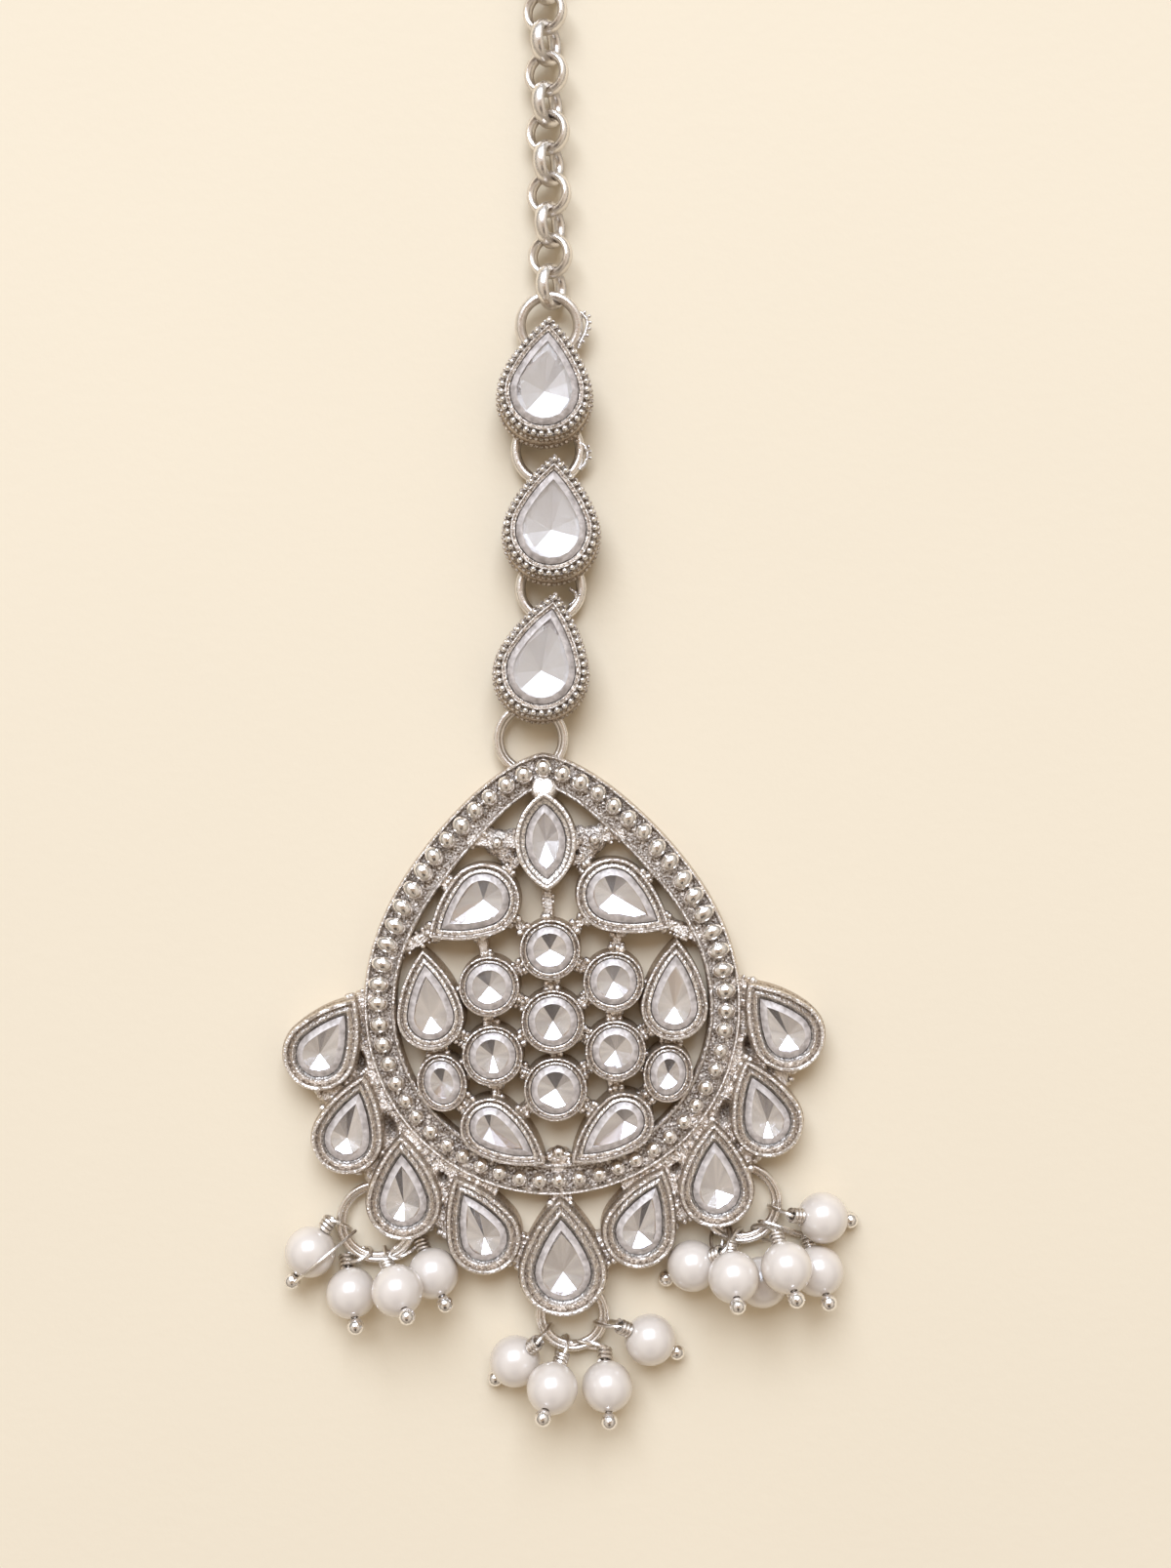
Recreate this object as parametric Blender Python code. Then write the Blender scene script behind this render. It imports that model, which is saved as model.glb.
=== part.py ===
"""Maang tikka, a forehead jewel: a cast teardrop pendant set with foiled glass stones, three
stone drops and a short rolo chain above it, a hair hook at the free end, and three rings of
imitation pearls below.

It lies on its back: +Z is up out of the stones, +Y runs from the pearls to the hook. Tables and
dimensions are in millimetres, meshes in metres. The pendant is mirror-symmetric about its own
axis, so its tables hold the right half and the middle only.
"""

import math

import bmesh
import bpy
import numpy as np
from mathutils import Matrix, Vector

MM = 0.001

# Pendant casting
PENDANT_AT = (0.04, 0.92)  # centre of the teardrop's round end
PENDANT_TURN = 2.3  # degrees, how far it has swung on its ring
BAND_CURVES = {
    # curve: radius at the round end, how much further out it is at the apex, and the angle in
    # degrees over which the apex fades into the round
    "inner": (12.4, 5.0, 24.0),
    "beads": (13.75, 5.15, 29.5),
    "outer": (15.0, 5.2, 28.5),
}
BAND_SHARPNESS = 1.4
BAND_RIM = 0.36  # width of the raised edge on each side of the bead channel
BAND_TOP, CHANNEL_FLOOR = 2.3, 1.75
BAND_LEAN, RIM_SPREAD = 0.28, 1.4  # how far the outer wall leans in; rim width at its foot
BAND_STEPS, BEAD_COUNT = 40, 58
BEAD_RADIUS = (0.52, 0.63)  # at the round end and at the apex
BEAD_LEVELS = ((1.18, 1.6), (0.7, 2.36))  # share of the radius and height, at foot and crown
BACK = -0.5  # castings are drawn down to here and trimmed flat at 0

# Settings: closed cups with a raised rim, their walls spread a little towards the foot
SETTING_TOP, PETAL_TOP = 3.1, 2.9
CUP_FLOOR = 1.7
FOOT_SPREAD = 0.32
CUP_TAPER = 0.62  # how much narrower the hollow is at its floor
FLOOR_SHARE = {"oval": 0.85, "pear": 0.62, "marquise": 0.62}  # its most, of the half width
GIRDLE_DROP, TABLE_DROP, CROWN_WIDTH, CULET_GAP = 0.42, 0.06, 0.42, 0.12
BRIDGE_TOP, BRIDGE_FOOT, BRIDGE_TAPER = 1.6, 0.12, 0.08
SIDE_ARC = 3.4  # radius of a pear's side arcs, in radii of its round end
PEAR_SIDE, PEAR_ROUND, OVAL_POINTS = 2, 7, 10

# Drops, jump rings, chain and hook
DROP_FOOT, DROP_FLOOR, DROP_TOP = 1.45, 2.9, 4.5
LUG_WIDTH, LUG_BAR = 0.9, 0.36
RING_WIRE, TUNNEL_GAP = 0.4, 0.1
PEARL_RING_HEIGHT, PEARL_RING_RAISED = 0.88, 0.05
LINK_OUTER, LINK_WIRE = 3.65, 0.34  # outer diameter, wire radius
LINK_PITCH, LINK_LOOSE = 2.45, 2.2  # where two links bear on each other, and between stretches
LINK_TILT = (62.0, -20.0)  # degrees about the chain, every other link
CHAIN_HEIGHT = 1.66
HOOK_WIRE, HOOK_EYE, HOOK_BEND, HOOK_SHANK = 0.45, 1.5, 2.75, 9.0
HOOK_TIP, HOOK_FLARE = (4.0, 6.0), 0.6  # how far the open leg comes back, and its turned-out end
HOOK_HEIGHT, HOOK_FALL = 1.62, 4.8  # at the eye, and over which length it comes down

# Pearls
PEARL_RADIUS, PEARL_BORE = 2.0, 0.32
PIN_WIRE, PIN_WRAP, PIN_COIL, PIN_HEAD = 0.2, 0.42, 0.45, 0.66

# Settings of the right half and the middle. x, y: centre of the round end (or of an oval);
# tip_x, tip_y: the point; radius: half its width; rim and seat: how far in from the outline
# the rim ends and the stone begins.
INNER_SETTINGS = [
    # name              kind        x      y     tip_x  tip_y  radius  rim   seat
    ("marquise",       "marquise",  0.0,  13.15,  0.0,  17.05,  2.4,  0.35, 0.85),
    ("upper",          "pear",      5.1,   8.75,  9.5,   5.95,  2.9,  0.35, 0.85),
    ("middle",         "pear",      9.6,  -0.3,  10.0,   5.0,   2.65, 0.35, 0.85),
    ("leaf",           "pear",      5.3,  -9.15,  1.05, -12.2,  2.35, 0.35, 0.8),
    ("round_top",      "oval",      0.0,   4.6,   0.0,   7.0,   2.4,  0.3,  0.58),
    ("round_upper",    "oval",      4.9,   1.9,   4.9,   4.3,   2.4,  0.3,  0.58),
    ("round_centre",   "oval",      0.0,  -1.05,  0.0,   1.45,  2.5,  0.3,  0.58),
    ("round_lower",    "oval",      4.85, -3.55,  4.85, -1.15,  2.4,  0.3,  0.58),
    ("round_bottom",   "oval",      0.0,  -6.4,   0.0,  -3.9,   2.5,  0.3,  0.58),
    ("oval",           "oval",      8.9,  -5.5,   9.3,  -3.25,  1.96, 0.3,  0.58),
]
PETAL_SETTINGS = [
    ("petal_1",        "pear",     18.5,  -2.9,  15.55,  1.3,   2.85, 0.4,  1.05),
    ("petal_2",        "pear",     16.6,  -9.65, 15.1,  -4.75,  2.77, 0.4,  1.0),
    ("petal_3",        "pear",     12.35, -14.9, 12.35, -9.6,   2.9,  0.4,  1.05),
    ("petal_4",        "pear",      6.1,  -17.9,  8.2,  -13.1,  2.85, 0.4,  1.05),
    ("petal_bottom",   "pear",      0.0,  -20.9,  0.0,  -15.05, 3.4,  0.45, 1.2),
]
# Low bars that join the settings to each other and to the band.
BRIDGES = [
    # from x    y      to x    y     width
    (0.0,     11.0,   0.0,    5.5,   0.75),
    (0.0,     15.5,   0.0,   18.2,   2.2),
    (0.0,      4.6,   4.9,    1.9,   0.9),
    (0.0,      4.6,   0.0,   -1.05,  0.9),
    (0.0,     -1.05,  4.9,    1.9,   0.9),
    (0.0,     -1.05,  4.85,  -3.55,  0.9),
    (0.0,     -1.05,  0.0,   -6.4,   0.9),
    (4.9,      1.9,   4.85,  -3.55,  0.9),
    (4.85,    -3.55,  0.0,   -6.4,   0.9),
    (0.0,      4.6,   5.1,    8.75,  0.8),
    (4.9,      1.9,   5.7,    8.0,   0.9),
    (4.9,      1.9,   9.6,    0.6,   0.9),
    (4.85,    -3.55,  9.6,   -0.9,   0.9),
    (4.85,    -3.55,  8.9,   -5.5,   1.2),
    (9.6,     -0.3,   8.9,   -5.5,   1.4),
    (4.85,    -3.55,  4.7,   -9.15,  0.9),
    (0.0,     -6.4,   4.4,   -9.3,   0.9),
    (8.9,     -5.5,   5.6,   -9.0,   1.2),
    (0.0,    -11.3,   0.0,  -13.2,   1.6),
    (0.0,     12.9,   6.6,   13.5,   1.1),
    (5.1,      8.75,  2.0,   12.0,   0.8),
    (5.6,      9.0,   9.0,   10.6,   0.9),
    (8.6,      6.6,  12.9,    4.5,   1.2),
    (16.2,     0.4,  13.4,    1.5,   1.8),
    (15.6,    -6.2,  13.2,   -4.0,   1.8),
    (12.35,  -11.4,  10.8,   -8.6,   1.8),
    (7.6,    -14.4,   6.9,  -12.0,   1.8),
    (0.0,    -17.0,   0.0,  -13.6,   1.6),
    (18.2,    -3.9,  16.9,   -8.6,   2.4),
    (15.9,   -10.5,  13.2,  -14.0,   2.4),
    (11.4,   -15.4,   7.1,  -17.4,   2.4),
    (5.2,    -18.3,   1.2,  -20.4,   2.4),
]
GRANULES = [
    # x      y     z    radius
    (3.95,  13.1,  1.9,  0.72),
    (0.0,  -11.6,  1.3,  0.75),
]

# x, y: centre of the round end; tip_x, tip_y: the point; radius: half its width
DROPS = [
    ("drop_1", -0.58, 48.9, -0.16, 55.1, 3.7),
    ("drop_2", -0.05, 38.1, 0.26, 44.3, 3.78),
    ("drop_3", -0.88, 27.1, 0.3, 33.5, 3.7),
]
# Rings between the drops: centre, mean radius, wire radius, height of the wire at the upper
# and at the lower end.
JUMP_RINGS = [
    # name          x      y      mean  wire        upper  lower
    ("jump_ring_1", -0.22, 55.05, 2.29, RING_WIRE, 1.55, 0.92),
    ("jump_ring_2", -0.34, 45.15, 2.56, RING_WIRE, 0.92, 0.92),
    ("jump_ring_3", -0.11, 34.18, 2.44, RING_WIRE, 0.92, 0.92),
    ("jump_ring_4", -1.7, 22.19, 2.58, 0.46, 0.92, 0.8),
]
CHAIN_END = (-0.08, 58.0)  # centre of the lowest link
CHAIN_TOP_X = -0.6
STRETCHES = [("chain_lower", 6), ("chain_upper", 5)]

# Rings that carry the pearls pass through the petals; towards: the side that does so, which is
# a little raised, degrees from +X.
PEARL_RINGS = [
    # name     x       y      mean  towards
    ("left",   -13.94, -16.29, 2.85, 39.0),
    ("bottom",   1.60, -23.65, 2.54, 100.0),
    ("right",   15.04, -14.77, 2.85, 148.0),
]
# seat: where its pin's eye sits on the ring, degrees; heading and rise: the pin's direction
# through the pearl, degrees.
PEARLS = [
    # ring     x       y       z     seat   heading  rise
    ("left",   -19.12, -18.45, 2.02, 186.0, -122.0,   0.0),
    ("left",   -15.88, -21.70, 2.02, 245.0,  -77.0,  31.0),
    ("left",   -11.95, -20.75, 5.00, 284.0,  -56.0,  51.0),
    ("left",    -9.40, -20.15, 2.02, 308.0,  -63.0,  31.0),
    ("bottom",  -2.91, -27.10, 2.02, 212.0, -133.0, -29.0),
    ("bottom",   0.06, -28.49, 4.42, 252.0, -112.0,  48.0),
    ("bottom",   4.35, -28.92, 2.60, 290.0,  -86.0,  33.0),
    ("bottom",   7.75, -25.40, 2.02, 345.0,  -30.0, -22.0),
    ("right",   11.10, -19.55, 2.02, 232.0, -147.0, -28.0),
    ("right",   14.16, -19.70, 5.00, 266.0,  -85.0,  52.0),
    ("right",   18.23, -18.89, 5.25, 300.0,  -74.0,  38.0),
    ("right",   21.03, -19.92, 2.20, 322.0,  -73.0,  36.0),
    ("right",   21.42, -15.75, 2.02, 350.0,  -11.0, -28.0),
    ("right",   16.63, -20.85, 2.02, 249.0,  -20.0, -10.0),
]


# Meshes


def skin(name, rings, closed=False):
    """Object whose surface runs through rings of equal size, each (n, 3) in mm.

    An open skin is capped at both ends; a last or first ring of one point is a peak. A closed
    one returns to its first ring.
    """
    mesh = bpy.data.meshes.new(name)
    build = bmesh.new()
    loops = [[build.verts.new(Vector(p) * MM) for p in ring] for ring in rings]
    pairs = list(zip(loops, loops[1:] + loops[:1] if closed else loops[1:]))
    for low, high in pairs:
        count = max(len(low), len(high))
        for i in range(count):
            j = (i + 1) % count
            if len(low) == 1:
                build.faces.new((low[0], high[j], high[i]))
            elif len(high) == 1:
                build.faces.new((low[i], low[j], high[0]))
            else:
                build.faces.new((low[i], low[j], high[j], high[i]))
    if not closed:
        if len(loops[0]) > 1:
            build.faces.new(loops[0][::-1])
        if len(loops[-1]) > 1:
            build.faces.new(loops[-1])
    build.to_mesh(mesh)
    build.free()
    made = bpy.data.objects.new(name, mesh)
    bpy.context.scene.collection.objects.link(made)
    return made


def at_height(outline, z):
    return np.column_stack([outline, np.full(len(outline), z)])


def swept(name, path, radii, sides, closed=False, up=None):
    """Round wire along path, (n, 3) in mm, with a radius for each point.

    up is the normal of a flat path; without it the section is carried along with no twist.
    """
    path = np.asarray(path, float)
    radii = np.broadcast_to(radii, len(path))
    if closed:
        along = np.roll(path, -1, axis=0) - np.roll(path, 1, axis=0)
    else:
        along = np.gradient(path, axis=0)
    along /= np.linalg.norm(along, axis=1)[:, None]
    side = np.array(up if up is not None else (0.31, 0.17, 0.94), float)
    rings = []
    turn = np.arange(sides) * 2 * math.pi / sides
    for point, ahead, radius in zip(path, along, radii):
        side = side - ahead * side.dot(ahead)
        side /= np.linalg.norm(side)
        across = np.cross(ahead, side)
        rings.append(point + radius * (np.outer(np.cos(turn), side) + np.outer(np.sin(turn), across)))
    return skin(name, rings, closed)


def circle(centre, radius, count, raised=0.0, towards=90.0, start=0.0):
    """Points of a circle; raised lifts the side at the heading towards by that much and lowers
    the opposite side as much."""
    turn = np.radians(start) + np.arange(count) * 2 * math.pi / count
    lift = raised * np.cos(turn - math.radians(towards))
    flat = np.array([np.cos(turn), np.sin(turn)]).T * radius
    return np.column_stack([flat + centre[:2], centre[2] + lift])


def tilted_normal(radius, raised, towards):
    slope, heading = raised / radius, math.radians(towards)
    return (-slope * math.cos(heading), -slope * math.sin(heading), 1.0)


def box(name, low, high):
    corners = np.array([(0, 0), (1, 0), (1, 1), (0, 1)]) * (np.subtract(high, low)[:2]) + low[:2]
    return skin(name, [at_height(corners, low[2]), at_height(corners, high[2])])


# Outlines, point up, counter-clockwise


def pear(radius, reach, inset=0.0):
    """A round of the given radius about (0, 0) and two larger arcs, tangent to it, that meet at
    (0, reach). inset moves all of it in evenly."""
    side = SIDE_ARC * radius
    back = side - radius
    joint = math.acos((2 * side * radius - radius**2 - reach**2) / (2 * reach * back))
    centre = -back * np.array([math.sin(joint), math.cos(joint)])
    start = math.asin(back * math.sin(joint) / (side - inset))
    arc = np.linspace(start, joint, PEAR_SIDE + 1)[:-1]
    flank = centre + (side - inset) * np.column_stack([np.sin(arc), np.cos(arc)])
    arc = np.linspace(joint, 2 * math.pi - joint, PEAR_ROUND)
    bowl = (radius - inset) * np.column_stack([np.sin(arc), np.cos(arc)])
    points = np.vstack([flank, bowl, flank[:0:-1] * (-1, 1)])
    return points * (-1, 1)


def marquise(radius, reach, inset=0.0):
    """Two arcs that meet in points at (0, reach) and (0, -reach)."""
    side = (radius**2 + reach**2) / (2 * radius)
    end = math.acos((side - radius) / (side - inset))
    arc = np.linspace(end, -end, PEAR_SIDE + 4)[:-1]
    flank = np.column_stack([(side - inset) * np.cos(arc) - side + radius, (side - inset) * np.sin(arc)])
    return np.vstack([flank, -flank]) * (-1, 1)


def oval(radius, reach, inset=0.0):
    turn = np.arange(OVAL_POINTS) * 2 * math.pi / OVAL_POINTS
    return np.column_stack([-(radius - inset) * np.sin(turn), (reach - inset) * np.cos(turn)])


OUTLINES = {"pear": pear, "marquise": marquise, "oval": oval}


class Setting:
    """Where a cup and its stone stand, which way their point is, and their outline."""

    def __init__(self, name, kind, x, y, tip_x, tip_y, radius, rim, seat, top, mirror=1):
        self.name, self.kind, self.radius = name, kind, radius
        self.rim, self.seat, self.top = rim, seat, top
        self.x, self.y = x * mirror, y
        self.reach = math.hypot(tip_x - x, tip_y - y)
        self.turn = math.atan2(-(tip_x - x) * mirror, tip_y - y)

    def outline(self, inset):
        return OUTLINES[self.kind](self.radius, self.reach, inset)

    def placed(self, made):
        made.location = (self.x * MM, self.y * MM, 0)
        made.rotation_euler = (0, 0, self.turn)
        return made

    def cup(self, foot, floor, name=None):
        """Closed cup with a flat rim and a hollow that narrows to its floor."""
        low = FLOOR_SHARE[self.kind] * self.radius
        rings = [
            at_height(self.outline(-FOOT_SPREAD), foot),
            at_height(self.outline(0.0), self.top),
            at_height(self.outline(self.rim), self.top),
            at_height(self.outline(min(self.seat + CUP_TAPER, low)), floor),
        ]
        return self.placed(skin(name or "cup_" + self.name, rings))

    def stone(self, floor):
        """Glass stone with a flat table, a sloped crown and a pointed back."""
        rings = [
            [(0.0, 0.0, floor + CULET_GAP)],
            at_height(self.outline(self.seat), self.top - GIRDLE_DROP),
            at_height(self.outline(self.seat + CROWN_WIDTH), self.top - TABLE_DROP),
        ]
        return self.placed(skin("stone_" + self.name, rings))


def settings_of(table, top):
    """A setting for each row, and its mirror image where it isn't on the middle line."""
    made = []
    for name, kind, x, y, tip_x, tip_y, radius, rim, seat in table:
        row = (kind, x, y, tip_x, tip_y, radius, rim, seat, top)
        if x == 0:
            made.append(Setting(name, *row))
        else:
            made.append(Setting(name + "_right", *row))
            made.append(Setting(name + "_left", *row, mirror=-1))
    return made


# Booleans


def combined(made, others, operation):
    """made with the others added to it or cut from it; the others are used up."""
    bag = bpy.data.collections.new("operands")
    for other in others:
        other.hide_render = True
        other.display_type = "WIRE"
        bag.objects.link(other)
    step = made.modifiers.new("combine", "BOOLEAN")
    step.operation, step.solver = operation, "EXACT"
    step.operand_type, step.collection = "COLLECTION", bag
    bpy.context.view_layer.update()
    graph = bpy.context.evaluated_depsgraph_get()
    result = bpy.data.meshes.new_from_object(made.evaluated_get(graph))
    made.modifiers.clear()
    made.data = result
    for other in others:
        bpy.data.objects.remove(other)
    bpy.data.collections.remove(bag)
    return made


# Materials and placing


def material(name, colour, roughness, metallic, alpha=1.0):
    made = bpy.data.materials.new(name)
    made.use_nodes = True
    made.diffuse_color = (*colour, alpha)
    shader = made.node_tree.nodes["Principled BSDF"]
    shader.inputs["Base Color"].default_value = (*colour, 1.0)
    shader.inputs["Roughness"].default_value = roughness
    shader.inputs["Metallic"].default_value = metallic
    shader.inputs["Alpha"].default_value = alpha
    return made


def finished(made, name, finish, parent, smooth=None):
    """Names a piece, gives it its material and hangs it on its parent; smooth is the angle in
    degrees below which its edges are shaded round."""
    made.name = made.data.name = name
    made.data.materials.clear()
    made.data.materials.append(finish)
    made.parent = parent
    if smooth:
        made.data.shade_smooth()
        made.data.set_sharp_from_angle(angle=math.radians(smooth))
    return made


def empty(name, x=0.0, y=0.0, turn=0.0, parent=None):
    made = bpy.data.objects.new(name, None)
    made.empty_display_size = 5 * MM
    made.location = (x * MM, y * MM, 0)
    made.rotation_euler = (0, 0, math.radians(turn))
    made.parent = parent
    bpy.context.scene.collection.objects.link(made)
    return made


# Pieces


def band_curve(turn, curve, offset=0.0):
    """Points of one of the band's curves; turn is the angle from the apex."""
    away = np.degrees(np.abs((turn + math.pi) % (2 * math.pi) - math.pi))
    at_round, further, spread = BAND_CURVES[curve]
    radius = at_round + further * np.exp(-((away / spread) ** BAND_SHARPNESS)) + offset
    return np.column_stack([-radius * np.sin(turn), radius * np.cos(turn)])


def band_turns(count):
    """Angles that cut the bead row into equal lengths, the first at the apex."""
    fine = np.linspace(0, 2 * math.pi, 4001)
    step = np.diff(band_curve(fine, "beads"), axis=0)
    length = np.concatenate([[0], np.cumsum(np.linalg.norm(step, axis=1))])
    return np.interp(np.arange(count) * length[-1] / count, length, fine)


def band():
    """The teardrop band: two raised edges with a sunk channel between them."""
    turn = band_turns(BAND_STEPS)
    profile = [
        # curve, offset, z
        ("outer", 0.0, BACK),
        ("outer", -BAND_LEAN, BAND_TOP),
        ("outer", -BAND_LEAN - RIM_SPREAD * BAND_RIM, CHANNEL_FLOOR),
        ("inner", RIM_SPREAD * BAND_RIM, CHANNEL_FLOOR),
        ("inner", 0.0, BAND_TOP),
        ("inner", 0.0, BACK),
    ]
    rings = [at_height(band_curve(turn, curve, offset), z) for curve, offset, z in profile]
    return skin("band", rings, closed=True)


def beads():
    """The row of beads in the channel, four-sided, largest at the apex."""
    turn = band_turns(BEAD_COUNT)
    centres = band_curve(turn, "beads")
    around = (np.arange(4) + 0.5) * math.pi / 2
    mesh = bpy.data.meshes.new("beads")
    build = bmesh.new()
    for (x, y), angle in zip(centres, turn):
        share = 0.5 + 0.5 * math.cos(angle)
        radius = BEAD_RADIUS[0] * (1 - share) + BEAD_RADIUS[1] * share
        low, high = [], []
        for a in around + angle:
            for loop, (share, z) in zip((low, high), BEAD_LEVELS):
                spot = (x + share * radius * math.cos(a), y + share * radius * math.sin(a), z)
                loop.append(build.verts.new(Vector(spot) * MM))
        build.faces.new(low[::-1])
        build.faces.new(high)
        for i, j in enumerate((1, 2, 3, 0)):
            build.faces.new((low[i], low[j], high[j], high[i]))
    build.to_mesh(mesh)
    build.free()
    made = bpy.data.objects.new("beads", mesh)
    bpy.context.scene.collection.objects.link(made)
    return made


def bridge(x0, y0, x1, y1, width, depth):
    """Low bar between two points; its top is a little narrower than its foot."""
    along = np.array([x1 - x0, y1 - y0], float)
    along /= np.linalg.norm(along)
    across = np.array([-along[1], along[0]])
    start, end = np.array([x0, y0]), np.array([x1, y1])
    rings = []
    for half, z in ((width / 2 + BRIDGE_FOOT, depth), (width / 2 - BRIDGE_TAPER, BRIDGE_TOP)):
        corners = [start - across * half, end - across * half, end + across * half, start + across * half]
        rings.append(at_height(np.array(corners), z))
    return skin("bridge", rings)


def granule(x, y, z, radius):
    rings = [[(x, y, z - radius)]]
    for share in (-0.5, 0.5):
        across = radius * math.sqrt(1 - share**2)
        turn = np.arange(6) * math.pi / 3
        rings.append(np.column_stack([
            x + across * np.cos(turn), y + across * np.sin(turn), np.full(6, z + share * radius)]))
    rings.append([(x, y, z + radius)])
    return skin("granule", rings)


def pendant_frame(settings, tunnels):
    """The whole casting: band, beads, cups, bars and granules, trimmed flat at the back and
    bored where the rings pass through."""
    pieces = [setting.cup(BACK - 0.01 * i, CUP_FLOOR) for i, setting in enumerate(settings)]
    for i, (x0, y0, x1, y1, width) in enumerate(BRIDGES):
        depth = BACK - 0.3 - 0.01 * i
        pieces.append(bridge(x0, y0, x1, y1, width, depth))
        if x0 or x1:
            pieces.append(bridge(-x0, y0, -x1, y1, width, depth - 0.005))
    for x, y, z, radius in GRANULES:
        pieces.append(granule(x, y, z, radius))
        if x:
            pieces.append(granule(-x, y, z, radius))
    made = combined(band(), pieces + [beads()], "UNION")
    below = box("below", (-30.0, -30.0, -3.0), (30.0, 30.0, 0.0))
    return combined(made, [below] + tunnels, "DIFFERENCE")


def drop_setting(setting, lugs):
    """A drop's cup, with a lug under each end for the ring that it hangs on."""
    pieces = []
    for x, y in lugs:
        half = LUG_WIDTH / 2
        lug = box("lug", (x - half, y - 0.95, 0.0), (x + half, y + 0.95, DROP_FOOT + 0.3))
        eye = box("eye", (x - 1.0, y - 0.52, LUG_BAR), (x + 1.0, y + 0.52, DROP_FOOT - 0.02))
        pieces.append(combined(lug, [eye], "DIFFERENCE"))
    made = setting.cup(DROP_FOOT, DROP_FLOOR)
    bpy.context.view_layer.update()
    made.data.transform(made.matrix_world)
    made.matrix_world = Matrix.Identity(4)
    return combined(made, pieces, "UNION")


def wire_ring(name, x, y, mean, wire, raised, towards, height, count=10, sides=5):
    path = circle((x, y, height), mean, count, raised, towards)
    return swept(name, path, wire, sides, closed=True, up=tilted_normal(mean, raised, towards))


def chain_link(x, y, tilt):
    """A round link, its plane turned about the chain by tilt degrees."""
    mean = LINK_OUTER / 2 - LINK_WIRE
    turn = np.arange(10) * math.pi / 5 + math.pi / 10
    lean = math.radians(tilt)
    flat = mean * np.cos(turn)
    path = np.column_stack([
        x + flat * math.cos(lean), y + mean * np.sin(turn), CHAIN_HEIGHT - flat * math.sin(lean)])
    return swept("link", path, LINK_WIRE, 5, closed=True, up=(math.sin(lean), 0, math.cos(lean)))


def hair_hook(x, y):
    """One bent wire: an eye through the last link, a straight shank and an open bend that
    catches in the hair. It comes down from the link's height to lie flat."""
    turn = np.radians(np.linspace(100, -180, 8))
    eye = np.column_stack([HOOK_EYE * np.cos(turn), HOOK_EYE * np.sin(turn)])
    shank_x, bend_y = -HOOK_EYE, HOOK_SHANK
    shank = np.column_stack([np.full(2, shank_x), (HOOK_EYE * 2, bend_y)])
    turn = np.radians(np.linspace(180, 0, 7))[1:]
    bend = np.column_stack([
        shank_x + HOOK_BEND + HOOK_BEND * np.cos(turn), bend_y + HOOK_BEND * np.sin(turn)])
    tip_x = shank_x + 2 * HOOK_BEND
    tip = np.array([(tip_x, bend_y - HOOK_TIP[0]), (tip_x + HOOK_FLARE, bend_y - HOOK_TIP[1])])
    flat = np.vstack([eye, shank, bend, tip]) + (x, y)
    fall = np.clip((flat[:, 1] - (y - HOOK_EYE)) / HOOK_FALL, 0, 1)
    height = HOOK_HEIGHT * (1 - fall) + (HOOK_WIRE + 0.02) * fall
    return swept("hook", np.column_stack([flat, height]), HOOK_WIRE, 5)


def heading_of(heading, rise):
    flat = math.cos(math.radians(rise))
    return np.array([
        flat * math.cos(math.radians(heading)),
        flat * math.sin(math.radians(heading)),
        math.sin(math.radians(rise)),
    ])


def pearl(centre, ahead):
    """A bored pearl, its bore along ahead."""
    shown = math.degrees(math.asin(PEARL_BORE / PEARL_RADIUS))
    turn = np.radians(np.linspace(180 - shown, shown, 5))
    profile = np.column_stack([PEARL_RADIUS * np.sin(turn), PEARL_RADIUS * np.cos(turn)])
    around = np.arange(8) * math.pi / 4
    rings = [
        np.column_stack([r * np.cos(around), r * np.sin(around), np.full(8, z)]) for r, z in profile
    ]
    made = skin("pearl", rings, closed=True)
    made.rotation_mode = "QUATERNION"
    made.rotation_quaternion = Vector(ahead).to_track_quat("Z", "Y")
    made.location = Vector(centre) * MM
    return made


def head_pin(centre, ahead, on_ring, along):
    """Head pin: its end wound round the ring at on_ring, then round itself above the pearl; it
    passes through the pearl and ends in a ball."""
    half = 0.5 * PIN_COIL * along
    coil = swept("coil", [on_ring - half, on_ring + half], RING_WIRE + 2 * PIN_WIRE, 6)
    reach = PEARL_RADIUS + 0.06 + PIN_HEAD
    path, radii = [on_ring], [PIN_WIRE]
    for distance, radius in [
        # distance along the pin from the pearl's centre, radius
        (-PEARL_RADIUS - 1.0, PIN_WIRE),
        (-PEARL_RADIUS - 0.92, PIN_WRAP),
        (-PEARL_RADIUS - 0.12, PIN_WRAP),
        (-PEARL_RADIUS - 0.05, PIN_WIRE),
        (reach - PIN_HEAD, PIN_WIRE),
        (reach - 0.4 * PIN_HEAD, PIN_HEAD),
        (reach + 0.4 * PIN_HEAD, PIN_HEAD),
        (reach + PIN_HEAD, 0.4 * PIN_HEAD),
    ]:
        path.append(np.array(centre) + ahead * distance)
        radii.append(radius)
    return [coil, swept("pin", path, radii, 5)]


def clear_scene():
    for made in list(bpy.data.objects):
        bpy.data.objects.remove(made)


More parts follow.
